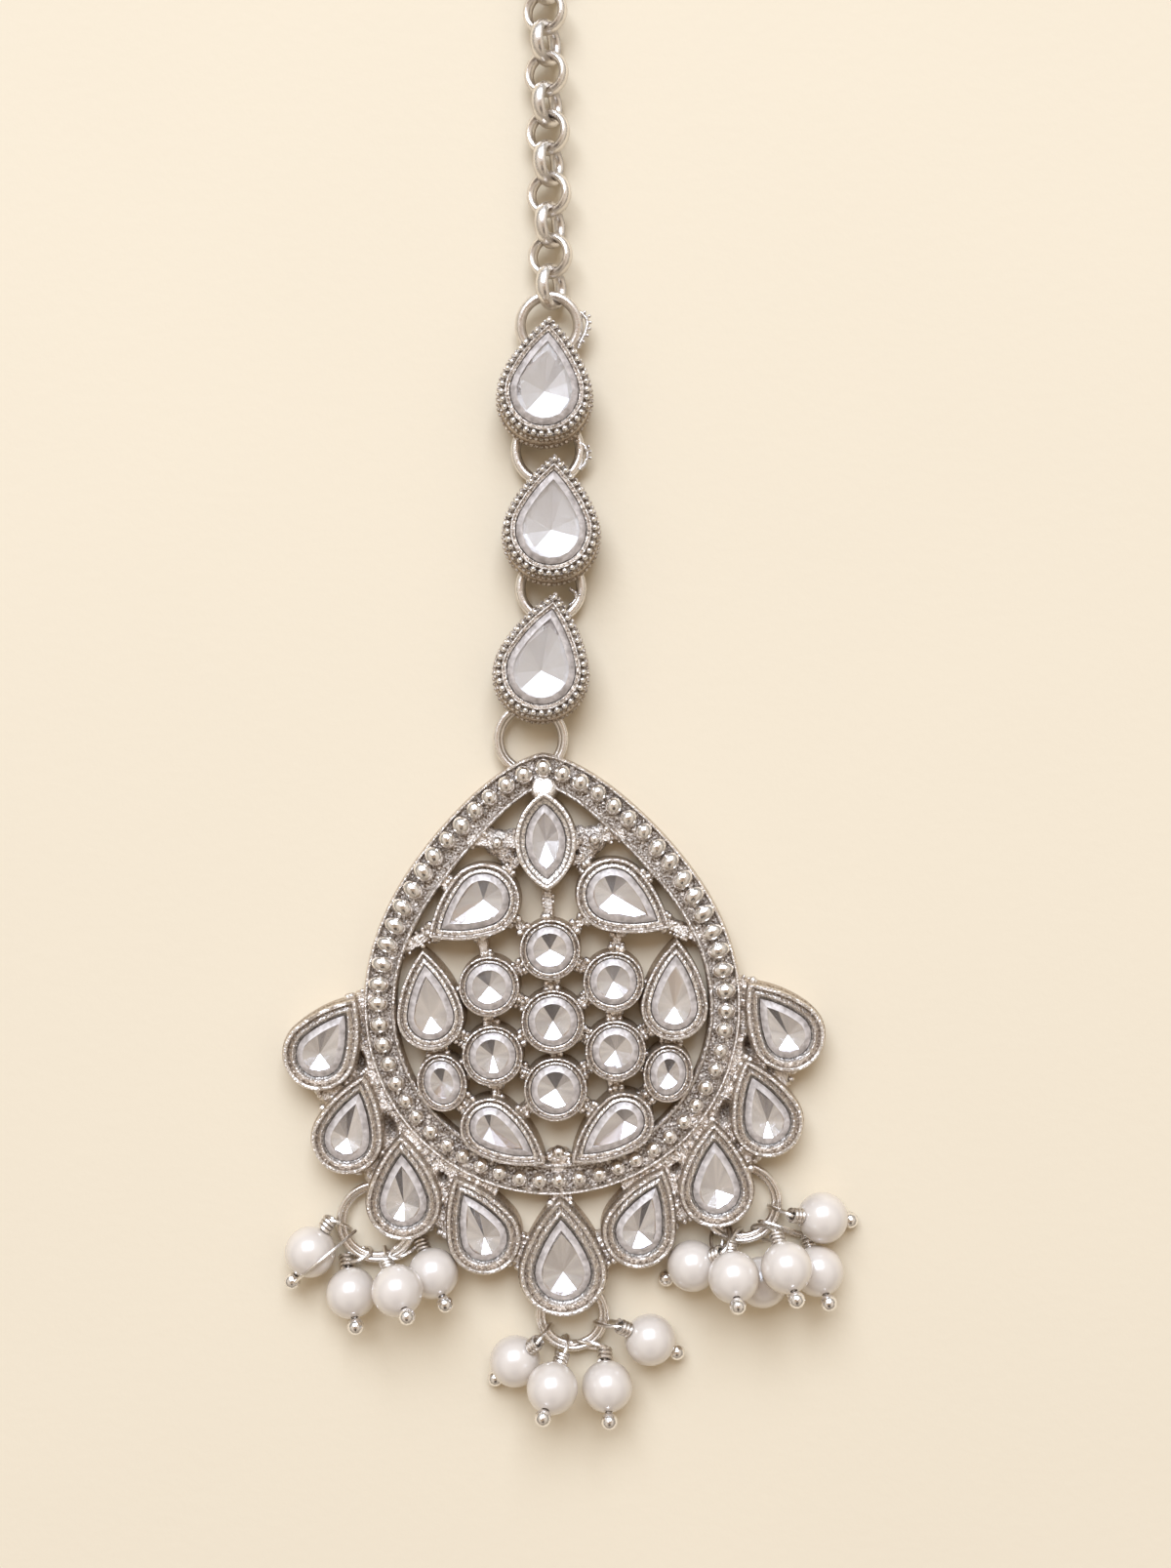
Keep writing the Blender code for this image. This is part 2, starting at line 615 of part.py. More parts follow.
def main():
    clear_scene()
    silver = material("antique_silver", (0.62, 0.60, 0.57), 0.32, 1.0)
    bright = material("polished_silver", (0.72, 0.70, 0.67), 0.2, 1.0)
    glass = material("clear_glass", (0.86, 0.87, 0.9), 0.04, 0.0, 0.6)
    nacre = material("imitation_pearl", (0.93, 0.91, 0.89), 0.18, 0.0)

    tikka = empty("maang_tikka")
    pendant = empty("pendant", *PENDANT_AT, PENDANT_TURN, tikka)
    bpy.context.view_layer.update()
    into_pendant = pendant.matrix_world.inverted()

    # Rings first, since the casting is bored for them.
    tunnels, ring_bodies = [], []
    for name, x, y, mean, wire, upper, lower in JUMP_RINGS:
        shape = (x, y, mean, wire, (upper - lower) / 2, 90.0, (upper + lower) / 2)
        finished(wire_ring(name, *shape), name, bright, tikka, 50)
    tunnels.append(wire_ring("tunnel", x, y, mean, wire + TUNNEL_GAP, *shape[4:]))
    for name, x, y, mean, towards in PEARL_RINGS:
        lie = (PEARL_RING_RAISED, towards, PEARL_RING_HEIGHT)
        ring_bodies.append(wire_ring("ring", x, y, mean, RING_WIRE, *lie))
        tunnels.append(wire_ring("tunnel", x, y, mean, RING_WIRE + TUNNEL_GAP, *lie))
    for tunnel in tunnels:
        tunnel.data.transform(into_pendant)

    settings = settings_of(INNER_SETTINGS, SETTING_TOP) + settings_of(PETAL_SETTINGS, PETAL_TOP)
    finished(pendant_frame(settings, tunnels), "pendant_frame", silver, pendant, 35)
    for setting in settings:
        finished(setting.stone(CUP_FLOOR), "stone_" + setting.name, glass, pendant)

    for row, above, below in zip(DROPS, JUMP_RINGS, JUMP_RINGS[1:]):
        name, x, y, tip_x, tip_y, radius = row
        setting = Setting(name, "pear", x, y, tip_x, tip_y, radius, 0.5, 0.95, DROP_TOP)
        lugs = [(above[1], above[2] - above[3]), (below[1], below[2] + below[3])]
        finished(drop_setting(setting, lugs), name + "_setting", silver, tikka, 35)
        finished(setting.stone(DROP_FLOOR), "stone_" + name, glass, tikka)

    x, y = CHAIN_END
    count = sum(links for _, links in STRETCHES)
    slope = (CHAIN_TOP_X - x) / (count - 1)
    link = 0
    for name, links in STRETCHES:
        pieces = []
        for i in range(links):
            if link:
                y += LINK_PITCH if i else LINK_LOOSE
            pieces.append(chain_link(x + slope * link, y, LINK_TILT[link % 2]))
            link += 1
        finished(combined(pieces[0], pieces[1:], "UNION"), name, bright, tikka, 50)
    inside = y + LINK_OUTER / 2 - 2 * LINK_WIRE - HOOK_WIRE - 0.06
    finished(hair_hook(CHAIN_TOP_X, inside + HOOK_EYE), "hair_hook", bright, tikka, 50)

    for (ring, x, y, mean, towards), body in zip(PEARL_RINGS, ring_bodies):
        pins = []
        rows = [row[1:] for row in PEARLS if row[0] == ring]
        for number, (px, py, pz, seat, heading, rise) in enumerate(rows, 1):
            ahead = heading_of(heading, rise)
            outward = heading_of(seat, 0.0)
            along = np.array([-outward[1], outward[0], 0.0])
            lift = PEARL_RING_RAISED * math.cos(math.radians(seat - towards))
            on_ring = np.array([x, y, PEARL_RING_HEIGHT + lift]) + mean * outward
            pins += head_pin((px, py, pz), ahead, on_ring, along)
            finished(pearl((px, py, pz), ahead), f"pearl_{ring}_{number}", nacre, tikka, 80)
        finished(combined(body, pins, "UNION"), "pearl_ring_" + ring, bright, tikka, 50)

    # The origin is under the middle of the whole jewel.
    bpy.context.view_layer.update()
    solids = [made for made in bpy.data.objects if made.type == "MESH"]
    points = np.array([made.matrix_world @ v.co for made in solids for v in made.data.vertices])
    middle = (points.min(axis=0) + points.max(axis=0)) / 2
    tikka.location = (-middle[0], -middle[1], -points[:, 2].min())


main()
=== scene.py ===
"""Looks of a maang tikka that lies on its back: a cast teardrop pendant of foiled glass stones,
three stone drops, a rolo chain with its hair hook, and three rings of imitation pearls.

Lengths are in millimetres and are turned into metres only where a mesh is written. Places come
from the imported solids; DATUM is the point of the jewel from which the tables measure.
"""

import copy
import math

import bmesh
import bpy
import numpy as np
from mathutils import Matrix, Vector


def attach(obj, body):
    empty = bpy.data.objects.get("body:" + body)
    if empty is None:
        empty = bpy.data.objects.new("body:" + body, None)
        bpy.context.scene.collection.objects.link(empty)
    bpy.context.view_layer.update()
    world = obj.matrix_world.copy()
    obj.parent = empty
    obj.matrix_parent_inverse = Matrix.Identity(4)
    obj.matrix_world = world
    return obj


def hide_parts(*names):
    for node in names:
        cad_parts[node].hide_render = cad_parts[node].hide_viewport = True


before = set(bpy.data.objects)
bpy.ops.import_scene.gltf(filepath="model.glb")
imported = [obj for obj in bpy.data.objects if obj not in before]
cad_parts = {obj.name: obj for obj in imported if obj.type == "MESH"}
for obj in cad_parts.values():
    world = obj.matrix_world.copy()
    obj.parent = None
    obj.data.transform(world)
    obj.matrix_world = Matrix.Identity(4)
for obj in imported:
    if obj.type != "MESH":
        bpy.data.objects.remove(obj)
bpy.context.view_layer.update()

# --------------------------------------
# The table it lies on: a sheet of cream card under one large soft lamp beyond the chain's end,
# with a pale room around it. The camera looks straight down.

MM = 0.001
CAMERA = (1.085, -13.767, 155.0)
VIEW_ANGLE = 44.15  # degrees, up and down
CARD_SIZE, CARD_DEPTH = 3000.0, 0.03
CREAM = (0.80, 0.70, 0.53)
FIBRE_SIZE, MOTTLE_SIZE = 0.9, 40.0
LAMP_AT, LAMP_SIZE = (-110.0, 700.0, 890.0), (900.0, 740.0)
LAMP_POWER, LAMP_TINT = 13.3, (0.87, 0.985, 1.20)
WALL_MIDDLE, WALL_SPREAD = 0.66, 0.34  # sine of the height at which the walls are brightest
FAR_WALL = (-0.1, 1.0, 0.0)  # towards the wall beyond the chain's end
ROOM_BASE, WALLS, WALLS_FAR = 0.33, 0.42, 0.2
WALL_NEAR_TINT, WALL_FAR_TINT = (1.0, 0.86, 0.71), (1.0, 0.93, 0.85)
CEILING_EDGE, CEILING_SOFT = 0.85, 0.1  # sine of the height where it begins, and how it fades in
CEILING_TINT = (1.12, 0.84, 0.60)
STAND_AT = (0.03, -0.59, 0.81)  # towards the dark body of the camera's stand
STAND_EDGE, STAND_SOFT = 0.932, 0.04  # cosine of the angle out to its edge, and how this fades
STAND_SHADE, STAND_TINT = 0.72, (0.66, 0.54, 0.46)


class Signal:
    """A socket in a material's nodes. Arithmetic on it adds Math nodes."""

    def __init__(self, finish, socket):
        self.finish, self.socket = finish, socket

    def math(self, operation, *values, clamp=False):
        """A Math node on the values."""
        return self.finish.add("Math", {"operation": operation, "use_clamp": clamp}, *values)

    __add__ = __radd__ = lambda self, other: self.math("ADD", self, other)
    __mul__ = __rmul__ = lambda self, other: self.math("MULTIPLY", self, other)
    __sub__ = lambda self, other: self.math("SUBTRACT", self, other)
    __rsub__ = lambda self, other: self.math("SUBTRACT", other, self)
    __pow__ = lambda self, other: self.math("POWER", self, other)

    def clamped(self):
        return self.math("ADD", self, 0.0, clamp=True)

    def above(self, other):
        return self.math("MAXIMUM", self, other)


class Finish:
    """A node material, or the world's light. add() makes any node from its type, its settings
    and the values of its inputs, by number or by name."""

    def __init__(self, name, owner=None):
        self.owner = owner or bpy.data.materials.new(name)
        self.owner.use_nodes = True
        self.tree = self.owner.node_tree

    def add(self, kind, settings, *values, output=0, **named):
        node = self.tree.nodes.new("ShaderNode" + kind)
        for key, value in settings.items():
            setattr(node, key, value)
        for key, value in [*enumerate(values), *named.items()]:
            self.feed(node.inputs[key], value)
        return Signal(self, node.outputs[output])

    def feed(self, socket, value):
        """Links a signal to a socket, or sets the socket to a number, a vector or a colour."""
        if isinstance(value, Signal):
            self.tree.links.new(value.socket, socket)
        else:
            socket.default_value = (*value, 1.0) if socket.type == "RGBA" else value

    def place(self):
        return self.add("TexCoord", {}, output="Object")

    def noise(self, size, detail=2.0):
        """Cloudy pattern from 0 to 1 whose spots are about size mm across."""
        return self.add("TexNoise", {}, Vector=self.place(), Scale=1 / (size * MM), Detail=detail)

    def grain(self, size):
        """Distance to the nearest of a scatter of points that lie about size mm apart."""
        return self.add("TexVoronoi", {}, Vector=self.place(), Scale=1 / (size * MM))

    def layer(self, name):
        """Values from 0 to 1 that the mesh holds for each point."""
        return self.add("Attribute", {"attribute_name": name}, output="Fac")

    def level(self):
        """1 where the surface faces straight up, 0 on upright walls, below 0 underneath."""
        normal = self.add("NewGeometry", {}, output="Normal")
        return self.add("VectorMath", {"operation": "DOT_PRODUCT"}, normal, (0.0, 0.0, 1.0),
                        output="Value")

    def mixed(self, share, first, second):
        """Colour between two others."""
        node = self.tree.nodes.new("ShaderNodeMix")
        node.data_type = "RGBA"
        for key, value in (("Factor", share), ("A", first), ("B", second)):
            self.feed(next(s for s in node.inputs if s.name == key and s.enabled), value)
        return Signal(self, next(s for s in node.outputs if s.enabled))

    def surface(self, bump=None, depth=0.1, **sockets):
        """Sets the Principled shader; bump is a height whose full range is depth mm."""
        shader = self.tree.nodes["Principled BSDF"]
        if bump is not None:
            sockets["Normal"] = self.add("Bump", {}, Distance=depth * MM, Height=bump)
        for key, value in sockets.items():
            self.feed(shader.inputs[key.replace("_", " ")], value)
        return self.owner


def linked(name, data):
    """An object for a mesh, a camera or a lamp, put into the scene."""
    made = bpy.data.objects.new(name, data)
    bpy.context.scene.collection.objects.link(made)
    return made


def card():
    """Flat sheet with a soft mottle and fine fibres."""
    finish = Finish("cream_card")
    fibres, mottle = finish.noise(FIBRE_SIZE, 4.0), finish.noise(MOTTLE_SIZE)
    shade = (0.5 + 0.5 * mottle) * (0.94 + 0.06 * fibres)
    colour = finish.mixed(shade, tuple(0.95 * c for c in CREAM), tuple(1.03 * c for c in CREAM))
    finish.surface(bump=fibres, depth=0.02, Base_Color=colour, Roughness=0.8 + 0.15 * fibres,
                   Specular_IOR_Level=0.2)
    half, under = CARD_SIZE / 2 * MM, -CARD_DEPTH * MM
    corners = [(x * half, y * half, under) for x, y in ((-1, -1), (1, -1), (1, 1), (-1, 1))]
    mesh = bpy.data.meshes.new("card")
    mesh.from_pydata(corners, [], [(0, 1, 2, 3)])
    mesh.materials.append(finish.owner)
    made = linked("card", mesh)


def camera():
    """Camera that looks straight down; its clip distances are in metres."""
    data = bpy.data.cameras.new("camera")
    data.sensor_fit = "VERTICAL"
    data.angle = math.radians(VIEW_ANGLE)
    data.clip_start, data.clip_end = 0.001, 10.0
    made = linked("camera", data)
    made.location = [c * MM for c in CAMERA]
    bpy.context.scene.camera = made


def lamp(name, at, size, power, colour):
    """Soft rectangular lamp at a place in mm that faces the jewel."""
    data = bpy.data.lights.new(name, "AREA")
    data.shape, data.size, data.size_y = "RECTANGLE", size[0] * MM, size[1] * MM
    data.energy, data.color = power, colour
    made = linked(name, data)
    made.location = [c * MM for c in at]
    made.rotation_euler = Vector(at).to_track_quat("Z", "Y").to_euler()


def room():
    """Pale walls all round, brightest halfway up and beyond the chain's end, under a dim brown
    ceiling. The camera's stand is a dark patch in it."""
    world = bpy.data.worlds.new("room")
    bpy.context.scene.world = world
    finish = Finish("room", world)
    ray = finish.add("TexCoord", {}, output="Generated")

    def toward(direction):
        return finish.add("VectorMath", {"operation": "DOT_PRODUCT"}, ray, direction,
                          output="Value")

    height, far = toward((0.0, 0.0, 1.0)), toward(FAR_WALL)
    level = (height - WALL_MIDDLE) * (1 / WALL_SPREAD)
    walls = (1.0 - level * level).above(0.0)
    ceiling = ((height - CEILING_EDGE) * (1 / CEILING_SOFT)).clamped()
    stand = ((toward(STAND_AT) - STAND_EDGE) * (1 / STAND_SOFT)).clamped()
    strength = (ROOM_BASE + walls * (WALLS + WALLS_FAR * far)) * (1.0 - STAND_SHADE * stand)
    colour = finish.mixed((0.5 + 0.7 * far).clamped(), WALL_NEAR_TINT, WALL_FAR_TINT)
    colour = finish.mixed(stand, finish.mixed(ceiling, colour, CEILING_TINT), STAND_TINT)
    background = world.node_tree.nodes["Background"]
    finish.feed(background.inputs["Color"], colour)
    finish.feed(background.inputs["Strength"], strength)


card()
camera()
lamp("window", LAMP_AT, LAMP_SIZE, LAMP_POWER, LAMP_TINT)
room()
bpy.context.scene.view_settings.view_transform = "Standard"

# --------------------------------------
# The casting's border: a teardrop band with two raised edges and a row of beads in the rough
# channel between them. Cast in a plated alloy, oxidised and polished back, so that its hollows
# stay dark; its low walls, flanks and undersides are painted darker still, as shade.

BAND_CURVES = {
    # curve: radius at the round end, how much further out it is at the apex, and the angle in
    # degrees over which the apex fades into the round
    "inner": (12.4, 5.0, 24.0),
    "beads": (13.75, 5.15, 29.5),
    "outer": (15.0, 5.2, 28.5),
}
BAND_SHARPNESS = 1.4
CENTRE_TO_STONE = 1.05  # the round centre stone lies this far below the band's centre
DROP_1_AT = (-0.58, 48.9)  # the first drop's round end, measured from DATUM
BAND_POINTS, BEADS = 464, 58
BEAD_RADIUS, BEAD_LARGER = 0.65, 0.1  # at the round end, and how much larger at the apex
BEAD_RISE, BEAD_SLIP = 0.3, 0.04  # height of its middle in radii; how far it lies off its place
# How much wider than long the beads are at most, where that is and how it spreads, in degrees
BEAD_STRETCH, STRETCH_AT, STRETCH_SPREAD = 0.35, 65, 30
CHANNEL = 1.72  # height of the channel's floor
GRAINS, GRAIN_RADII = 1700, (0.09, 0.2)
GRAIN_SIDES = (-0.9, 0.85)  # how far the grains lie inside the beads' curve
GRAIN_DARK, DARK_SHARE = 0.9, 0.65  # how dark the dull ones are, and how many of them are dull
BAND_PROFILE = [
    # curve, how far inside it, height, how dark it is painted: oxide in the channel, shade low on
    # the walls
    ("outer", 0.06, 0.0, 0.6), ("outer", 0.02, 0.9, 0.45), ("outer", 0.08, 1.75, 0.3),
    ("outer", 0.13, 2.08, 0.0), ("outer", 0.22, 2.22, 0.0), ("outer", 0.32, 2.18, 0.0),
    ("outer", 0.39, 1.98, 0.5), ("outer", 0.46, CHANNEL, 1.0), ("inner", -0.4, CHANNEL, 1.0),
    ("inner", -0.33, 1.98, 0.5), ("inner", -0.26, 2.14, 0.0), ("inner", -0.14, 2.2, 0.0),
    ("inner", -0.05, 2.12, 0.0), ("inner", 0.0, 1.9, 0.35), ("inner", 0.0, 0.9, 0.6),
    ("inner", -0.02, 0.0, 0.7),
]
rng = np.random.default_rng(7)


def points_of(node):
    """A solid's points in mm."""
    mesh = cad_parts[node].data
    found = np.empty(len(mesh.vertices) * 3)
    mesh.vertices.foreach_get("co", found)
    return found.reshape(-1, 3) / MM


def unit(vectors):
    """Vectors brought to length 1."""
    return vectors / np.linalg.norm(vectors, axis=-1, keepdims=True)


def steps_round(count):
    """Equal steps round a full turn."""
    return np.arange(count) * 2 * math.pi / count


def foot_of(stone):
    """The lowest point of a stone, under the middle of its round end."""
    found = points_of(stone)
    return found[found[:, 2].argmin(), :2]


DATUM = foot_of("stone_drop_1") - DROP_1_AT
pendant_up = unit(foot_of("stone_round_top") - foot_of("stone_round_bottom"))
pendant_right = np.array([pendant_up[1], -pendant_up[0]])
band_centre = foot_of("stone_round_centre") + CENTRE_TO_STONE * pendant_up


def on_pendant(x, y):
    """Places on the pendant, measured from the band's centre along the pendant's own axes."""
    return band_centre + np.multiply.outer(x, pendant_right) + np.multiply.outer(y, pendant_up)


def lifted(flat, height):
    """Flat points with a height added."""
    flat = np.asarray(flat, float)
    return np.concatenate([flat, np.broadcast_to(height, flat.shape[:-1])[..., None]], axis=-1)


def piece(name, points, finish, smooth=40.0, closed=(False, True), slot="antique_silver",
          replaces=(), **layers):
    """One mesh through grids of points, (copies, rows, columns, 3) in mm. closed says whether
    rows and columns return to their first. Points that coincide are merged, which closes poles.
    A layer holds a value for each point."""
    points = np.asarray(points, float)
    points = points.reshape((-1,) + points.shape[-3:])
    copies, rows, columns, _ = points.shape
    i, j = np.meshgrid(np.arange(rows - (not closed[0])), np.arange(columns - (not closed[1])),
                       indexing="ij")
    corners = [((i + di) % rows) * columns + (j + dj) % columns
               for di, dj in ((0, 0), (0, 1), (1, 1), (1, 0))]
    faces = np.stack(corners, axis=-1).reshape(-1, 4)
    faces = (faces + np.arange(copies)[:, None, None] * rows * columns).reshape(-1, 4)
    mesh = bpy.data.meshes.new(name)
    mesh.vertices.add(points.size // 3)
    mesh.vertices.foreach_set("co", (points * MM).ravel())
    mesh.loops.add(faces.size)
    mesh.loops.foreach_set("vertex_index", faces.ravel().astype(np.int32))
    mesh.polygons.add(len(faces))
    mesh.polygons.foreach_set("loop_start", np.arange(0, faces.size, 4, dtype=np.int32))
    for key, value in layers.items():
        layer = mesh.attributes.new(key, "FLOAT", "POINT")
        layer.data.foreach_set("value", np.broadcast_to(value, points.shape[:-1]).ravel())
    mesh.update(calc_edges=True)
    build = bmesh.new()
    build.from_mesh(mesh)
    bmesh.ops.remove_doubles(build, verts=build.verts, dist=1e-4 * MM)
    bmesh.ops.recalc_face_normals(build, faces=build.faces)
    build.to_mesh(mesh)
    build.free()
    return shown(mesh, name, finish, smooth, replaces)


def shown(mesh, name, finish, smooth, replaces):
    """Puts a finished mesh into the scene; smooth is the angle in degrees of its sharpest round
    edge, and 0 leaves it faceted. The layer slope is 0 where the surface faces up and 1 where it
    stands upright or faces down."""
    for one in finish if isinstance(finish, (list, tuple)) else (finish,):
        mesh.materials.append(one)
    normals = np.empty(len(mesh.vertices) * 3)
    mesh.vertex_normals.foreach_get("vector", normals)
    slope = mesh.attributes.new("slope", "FLOAT", "POINT")
    slope.data.foreach_set("value", np.clip(1 - normals[2::3], 0, 1).astype(np.float32))
    if smooth:
        mesh.shade_smooth()
        mesh.set_sharp_from_angle(angle=math.radians(smooth))
    else:
        mesh.shade_flat()
    made = linked(name, mesh)
    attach(made, "root")
    if replaces:
        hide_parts(*replaces)
    return made


def band_curve(turn, curve, inside=0.0):
    """Radius r + further * exp(-(angle from the apex / spread) ** sharpness), less inside."""
    away = np.degrees(np.abs((turn + math.pi) % (2 * math.pi) - math.pi))
    at_round, further, spread = BAND_CURVES[curve]
    radius = at_round + further * np.exp(-((away / spread) ** BAND_SHARPNESS)) - inside
    return on_pendant(-radius * np.sin(turn), radius * np.cos(turn))


def band_turns(count, curve="beads", inside=0.0):
    """Angles that cut a curve into equal lengths, the first at the apex."""
    fine = np.linspace(0, 2 * math.pi, 6001)
    step = np.diff(band_curve(fine, curve, inside), axis=0)
    length = np.concatenate([[0], np.cumsum(np.linalg.norm(step, axis=1))])
    return np.interp(np.arange(count) * length[-1] / count, length, fine)


def balls(centres, radii, segments=8, rows=5, squash=1.0):
    """Grid of a sphere for each centre: radius times (sin u cos v, sin u sin v, squash cos u)."""
    u = np.linspace(0, math.pi, rows)[:, None]
    v = steps_round(segments)
    ball = np.stack([np.sin(u) * np.cos(v), np.sin(u) * np.sin(v), squash * np.cos(u) + 0 * v], -1)
    radii = np.broadcast_to(radii, len(centres))
    return np.asarray(centres)[:, None, None, :] + radii[:, None, None, None] * ball


def hollow_of(profile):
    """How dark each row of a profile is painted, with oxide and shade: the last value of the row.
    """
    return np.array([row[-1] for row in profile])[:, None]


OXIDE_AND_SHADE, SHADED_WALL_BROWN = (0.17, 0.118, 0.075), (0.60, 0.44, 0.28)


def silver(name, shine, pitted, flank_shade, rough, wall_shade=0.45, bare=(0.96, 0.89, 0.81)):
    """Plated casting: bright where it is polished, brown-black with oxide in its hollows and in the
    pits of its skin, and painted darker as shade on its flanks, undersides and low walls. bare and
    shine are the colour and the roughness of its bright parts, pitted how strong the pits are,
    flank_shade how dark the painted shade on its flanks is, rough the depth of its skin in mm, and
    wall_shade how far upright walls and undersides are painted a warm brown, as shade."""
    finish = Finish(name)
    cloud, skin, pits = finish.noise(1.3), finish.noise(0.16, 3.0), finish.grain(0.24)
    # flank is painted shade: darker where the surface turns away from up.
    flank = ((finish.layer("slope") - 0.34) * 1.7).clamped()
    speck = ((skin - 0.5) * 3.6 * pitted).above(-0.4)
    dark = finish.layer("hollow") * 0.7 + flank * flank_shade + (cloud - 0.5) * 0.25 + speck * 0.75
    dark = (dark - 0.06).clamped()
    # Upright walls and undersides are painted a warm brown, as shade.
    upright = ((0.6 - finish.level()) * 1.6).clamped()
    colour = finish.mixed(dark, bare, OXIDE_AND_SHADE)
    colour = finish.mixed(wall_shade * upright, colour, SHADED_WALL_BROWN)
    finish.surface(bump=skin + pits * 0.6, depth=rough, Base_Color=colour,
                   Metallic=1.0 - 0.3 * dark, Roughness=shine + 0.2 * dark + 0.1 * pitted * skin)
    return finish.owner


cast_silver = silver("antique_silver", 0.25, 1.2, 0.4, 0.17)
polished_rim = silver("polished_rim", 0.22, 1.3, 0.5, 0.06, bare=(0.97, 0.92, 0.86))
bright_ball = silver("bright_ball", 0.1, 0.4, 0.25, 0.02, wall_shade=0.0, bare=(0.95, 0.92, 0.89))
turn = band_turns(BAND_POINTS)
rows = [lifted(band_curve(turn, curve, inside), z) for curve, inside, z, _ in BAND_PROFILE]
piece("border", rows, cast_silver, closed=(True, True), replaces=["pendant_frame"],
      hollow=hollow_of(BAND_PROFILE))

turn = band_turns(BEADS)
share = 0.5 + 0.5 * np.cos(turn)
size = (BEAD_RADIUS + BEAD_LARGER * share) * rng.uniform(0.95, 1.05, BEADS)
place = lifted(band_curve(turn, "beads"), CHANNEL + BEAD_RISE * size)
place[:, :2] += rng.normal(0, BEAD_SLIP, (BEADS, 2))
beads = balls(place, size, 20, 13)
away = unit(place[:, :2] - band_centre)
out = np.einsum("krci,ki->krc", beads[..., :2] - place[:, None, None, :2], away)
from_apex = np.degrees(np.minimum(turn, 2 * math.pi - turn))
wider = BEAD_STRETCH * np.exp(-(((from_apex - STRETCH_AT) / STRETCH_SPREAD) ** 2))
beads[..., :2] += (wider[:, None, None] * out)[..., None] * away[:, None, None]
piece("border_beads", beads, bright_ball, hollow=0.0)

turn = band_turns(GRAINS)[rng.permutation(GRAINS)]
place = lifted(band_curve(turn, "beads", rng.uniform(*GRAIN_SIDES, GRAINS)), CHANNEL)
piece("border_grains", balls(place, rng.uniform(*GRAIN_RADII, GRAINS), 6, 4), cast_silver,
      hollow=rng.choice([0.0, GRAIN_DARK], (GRAINS, 1, 1), p=[1 - DARK_SHARE, DARK_SHARE]))

# --------------------------------------
# Closed settings of the casting, one round each stone: a raised rim, a groove and a step inside
# it, then the stone's seat. Their outlines are pears, marquises and ovals whose sizes are read
# from the stones.

AROUND, FLANK = 96, 24  # points round an outline, and on each side of a pear's point
SIDE_ARC = 3.4  # radius of a pear's side arcs, in radii of its round end
RIM_ABOVE = 0.06  # how high a setting's rim stands above the stone's table
RIM_UNEVEN = 0.005
BEZELS = {
    # kind of stone: width of its setting from the outline to the stone
    "marquise": 0.85, "upper": 0.85, "middle": 0.85, "leaf": 0.8,
    "round": 0.58, "oval": 0.58,
    "petal_1": 1.05, "petal_2": 1.0, "petal_3": 1.05, "petal_4": 1.05, "petal_bottom": 1.2,
    "drop": 0.88,
}
CENTRE = None
CUP_PROFILE = [
    # how far in, as a share of the setting's width; height from its rim; how dark it is
    # painted, with oxide in the grooves and shade on the low outer walls
    (CENTRE, -3.1, 0.7), (-0.1, -3.1, 0.7), (-0.08, -2.8, 0.7), (-0.04, -1.0, 0.5),
    (-0.01, -0.36, 0.3), (0.02, -0.12, 0.0), (0.08, -0.01, 0.0), (0.22, 0.0, 0.0),
    (0.28, -0.06, 0.0), (0.33, -0.26, 0.7), (0.37, -0.42, 1.0), (0.47, -0.44, 1.0),
    (0.53, -0.36, 0.6), (0.62, -0.28, 0.3), (0.72, -0.26, 0.35), (0.8, -0.22, 0.0),
    (0.87, -0.23, 0.0), (0.93, -0.3, 0.2), (0.985, -0.5, 0.3), (1.5, -1.3, 0.2),
    (CENTRE, -1.38, 0.2),
]


def pear(radius, reach, inset):
    """A round about (0, 0) and two larger arcs tangent to it that meet at (0, reach), moved in
    evenly by inset."""
    side = SIDE_ARC * radius
    back = side - radius
    joint = math.acos((side**2 - back**2 - reach**2) / (2 * back * reach))
    start = math.asin(back * math.sin(joint) / (side - inset))
    arc = np.linspace(start, joint, FLANK + 1)[:-1]
    middle = -back * np.array([math.sin(joint), math.cos(joint)])
    flank = middle + (side - inset) * np.column_stack([np.sin(arc), np.cos(arc)])
    arc = np.linspace(joint, 2 * math.pi - joint, AROUND - 2 * FLANK + 1)
    bowl = (radius - inset) * np.column_stack([np.sin(arc), np.cos(arc)])
    return np.vstack([flank, bowl, flank[:0:-1] * (-1, 1)])


def marquise(radius, reach, inset):
    """Two arcs that meet in points at (0, reach) and (0, -reach)."""
    side = (radius**2 + reach**2) / (2 * radius)
    end = math.acos((side - radius) / (side - inset))
    arc = np.linspace(end, -end, AROUND // 2 + 1)[:-1]
    flank = (side - inset) * np.column_stack([np.cos(arc), np.sin(arc)]) + (radius - side, 0)
    return np.vstack([flank, -flank])


def oval(radius, reach, inset):
    """(radius * sin, reach * cos), both less inset."""
    turn = steps_round(AROUND)
    return np.column_stack([(radius - inset) * np.sin(turn), (reach - inset) * np.cos(turn)])


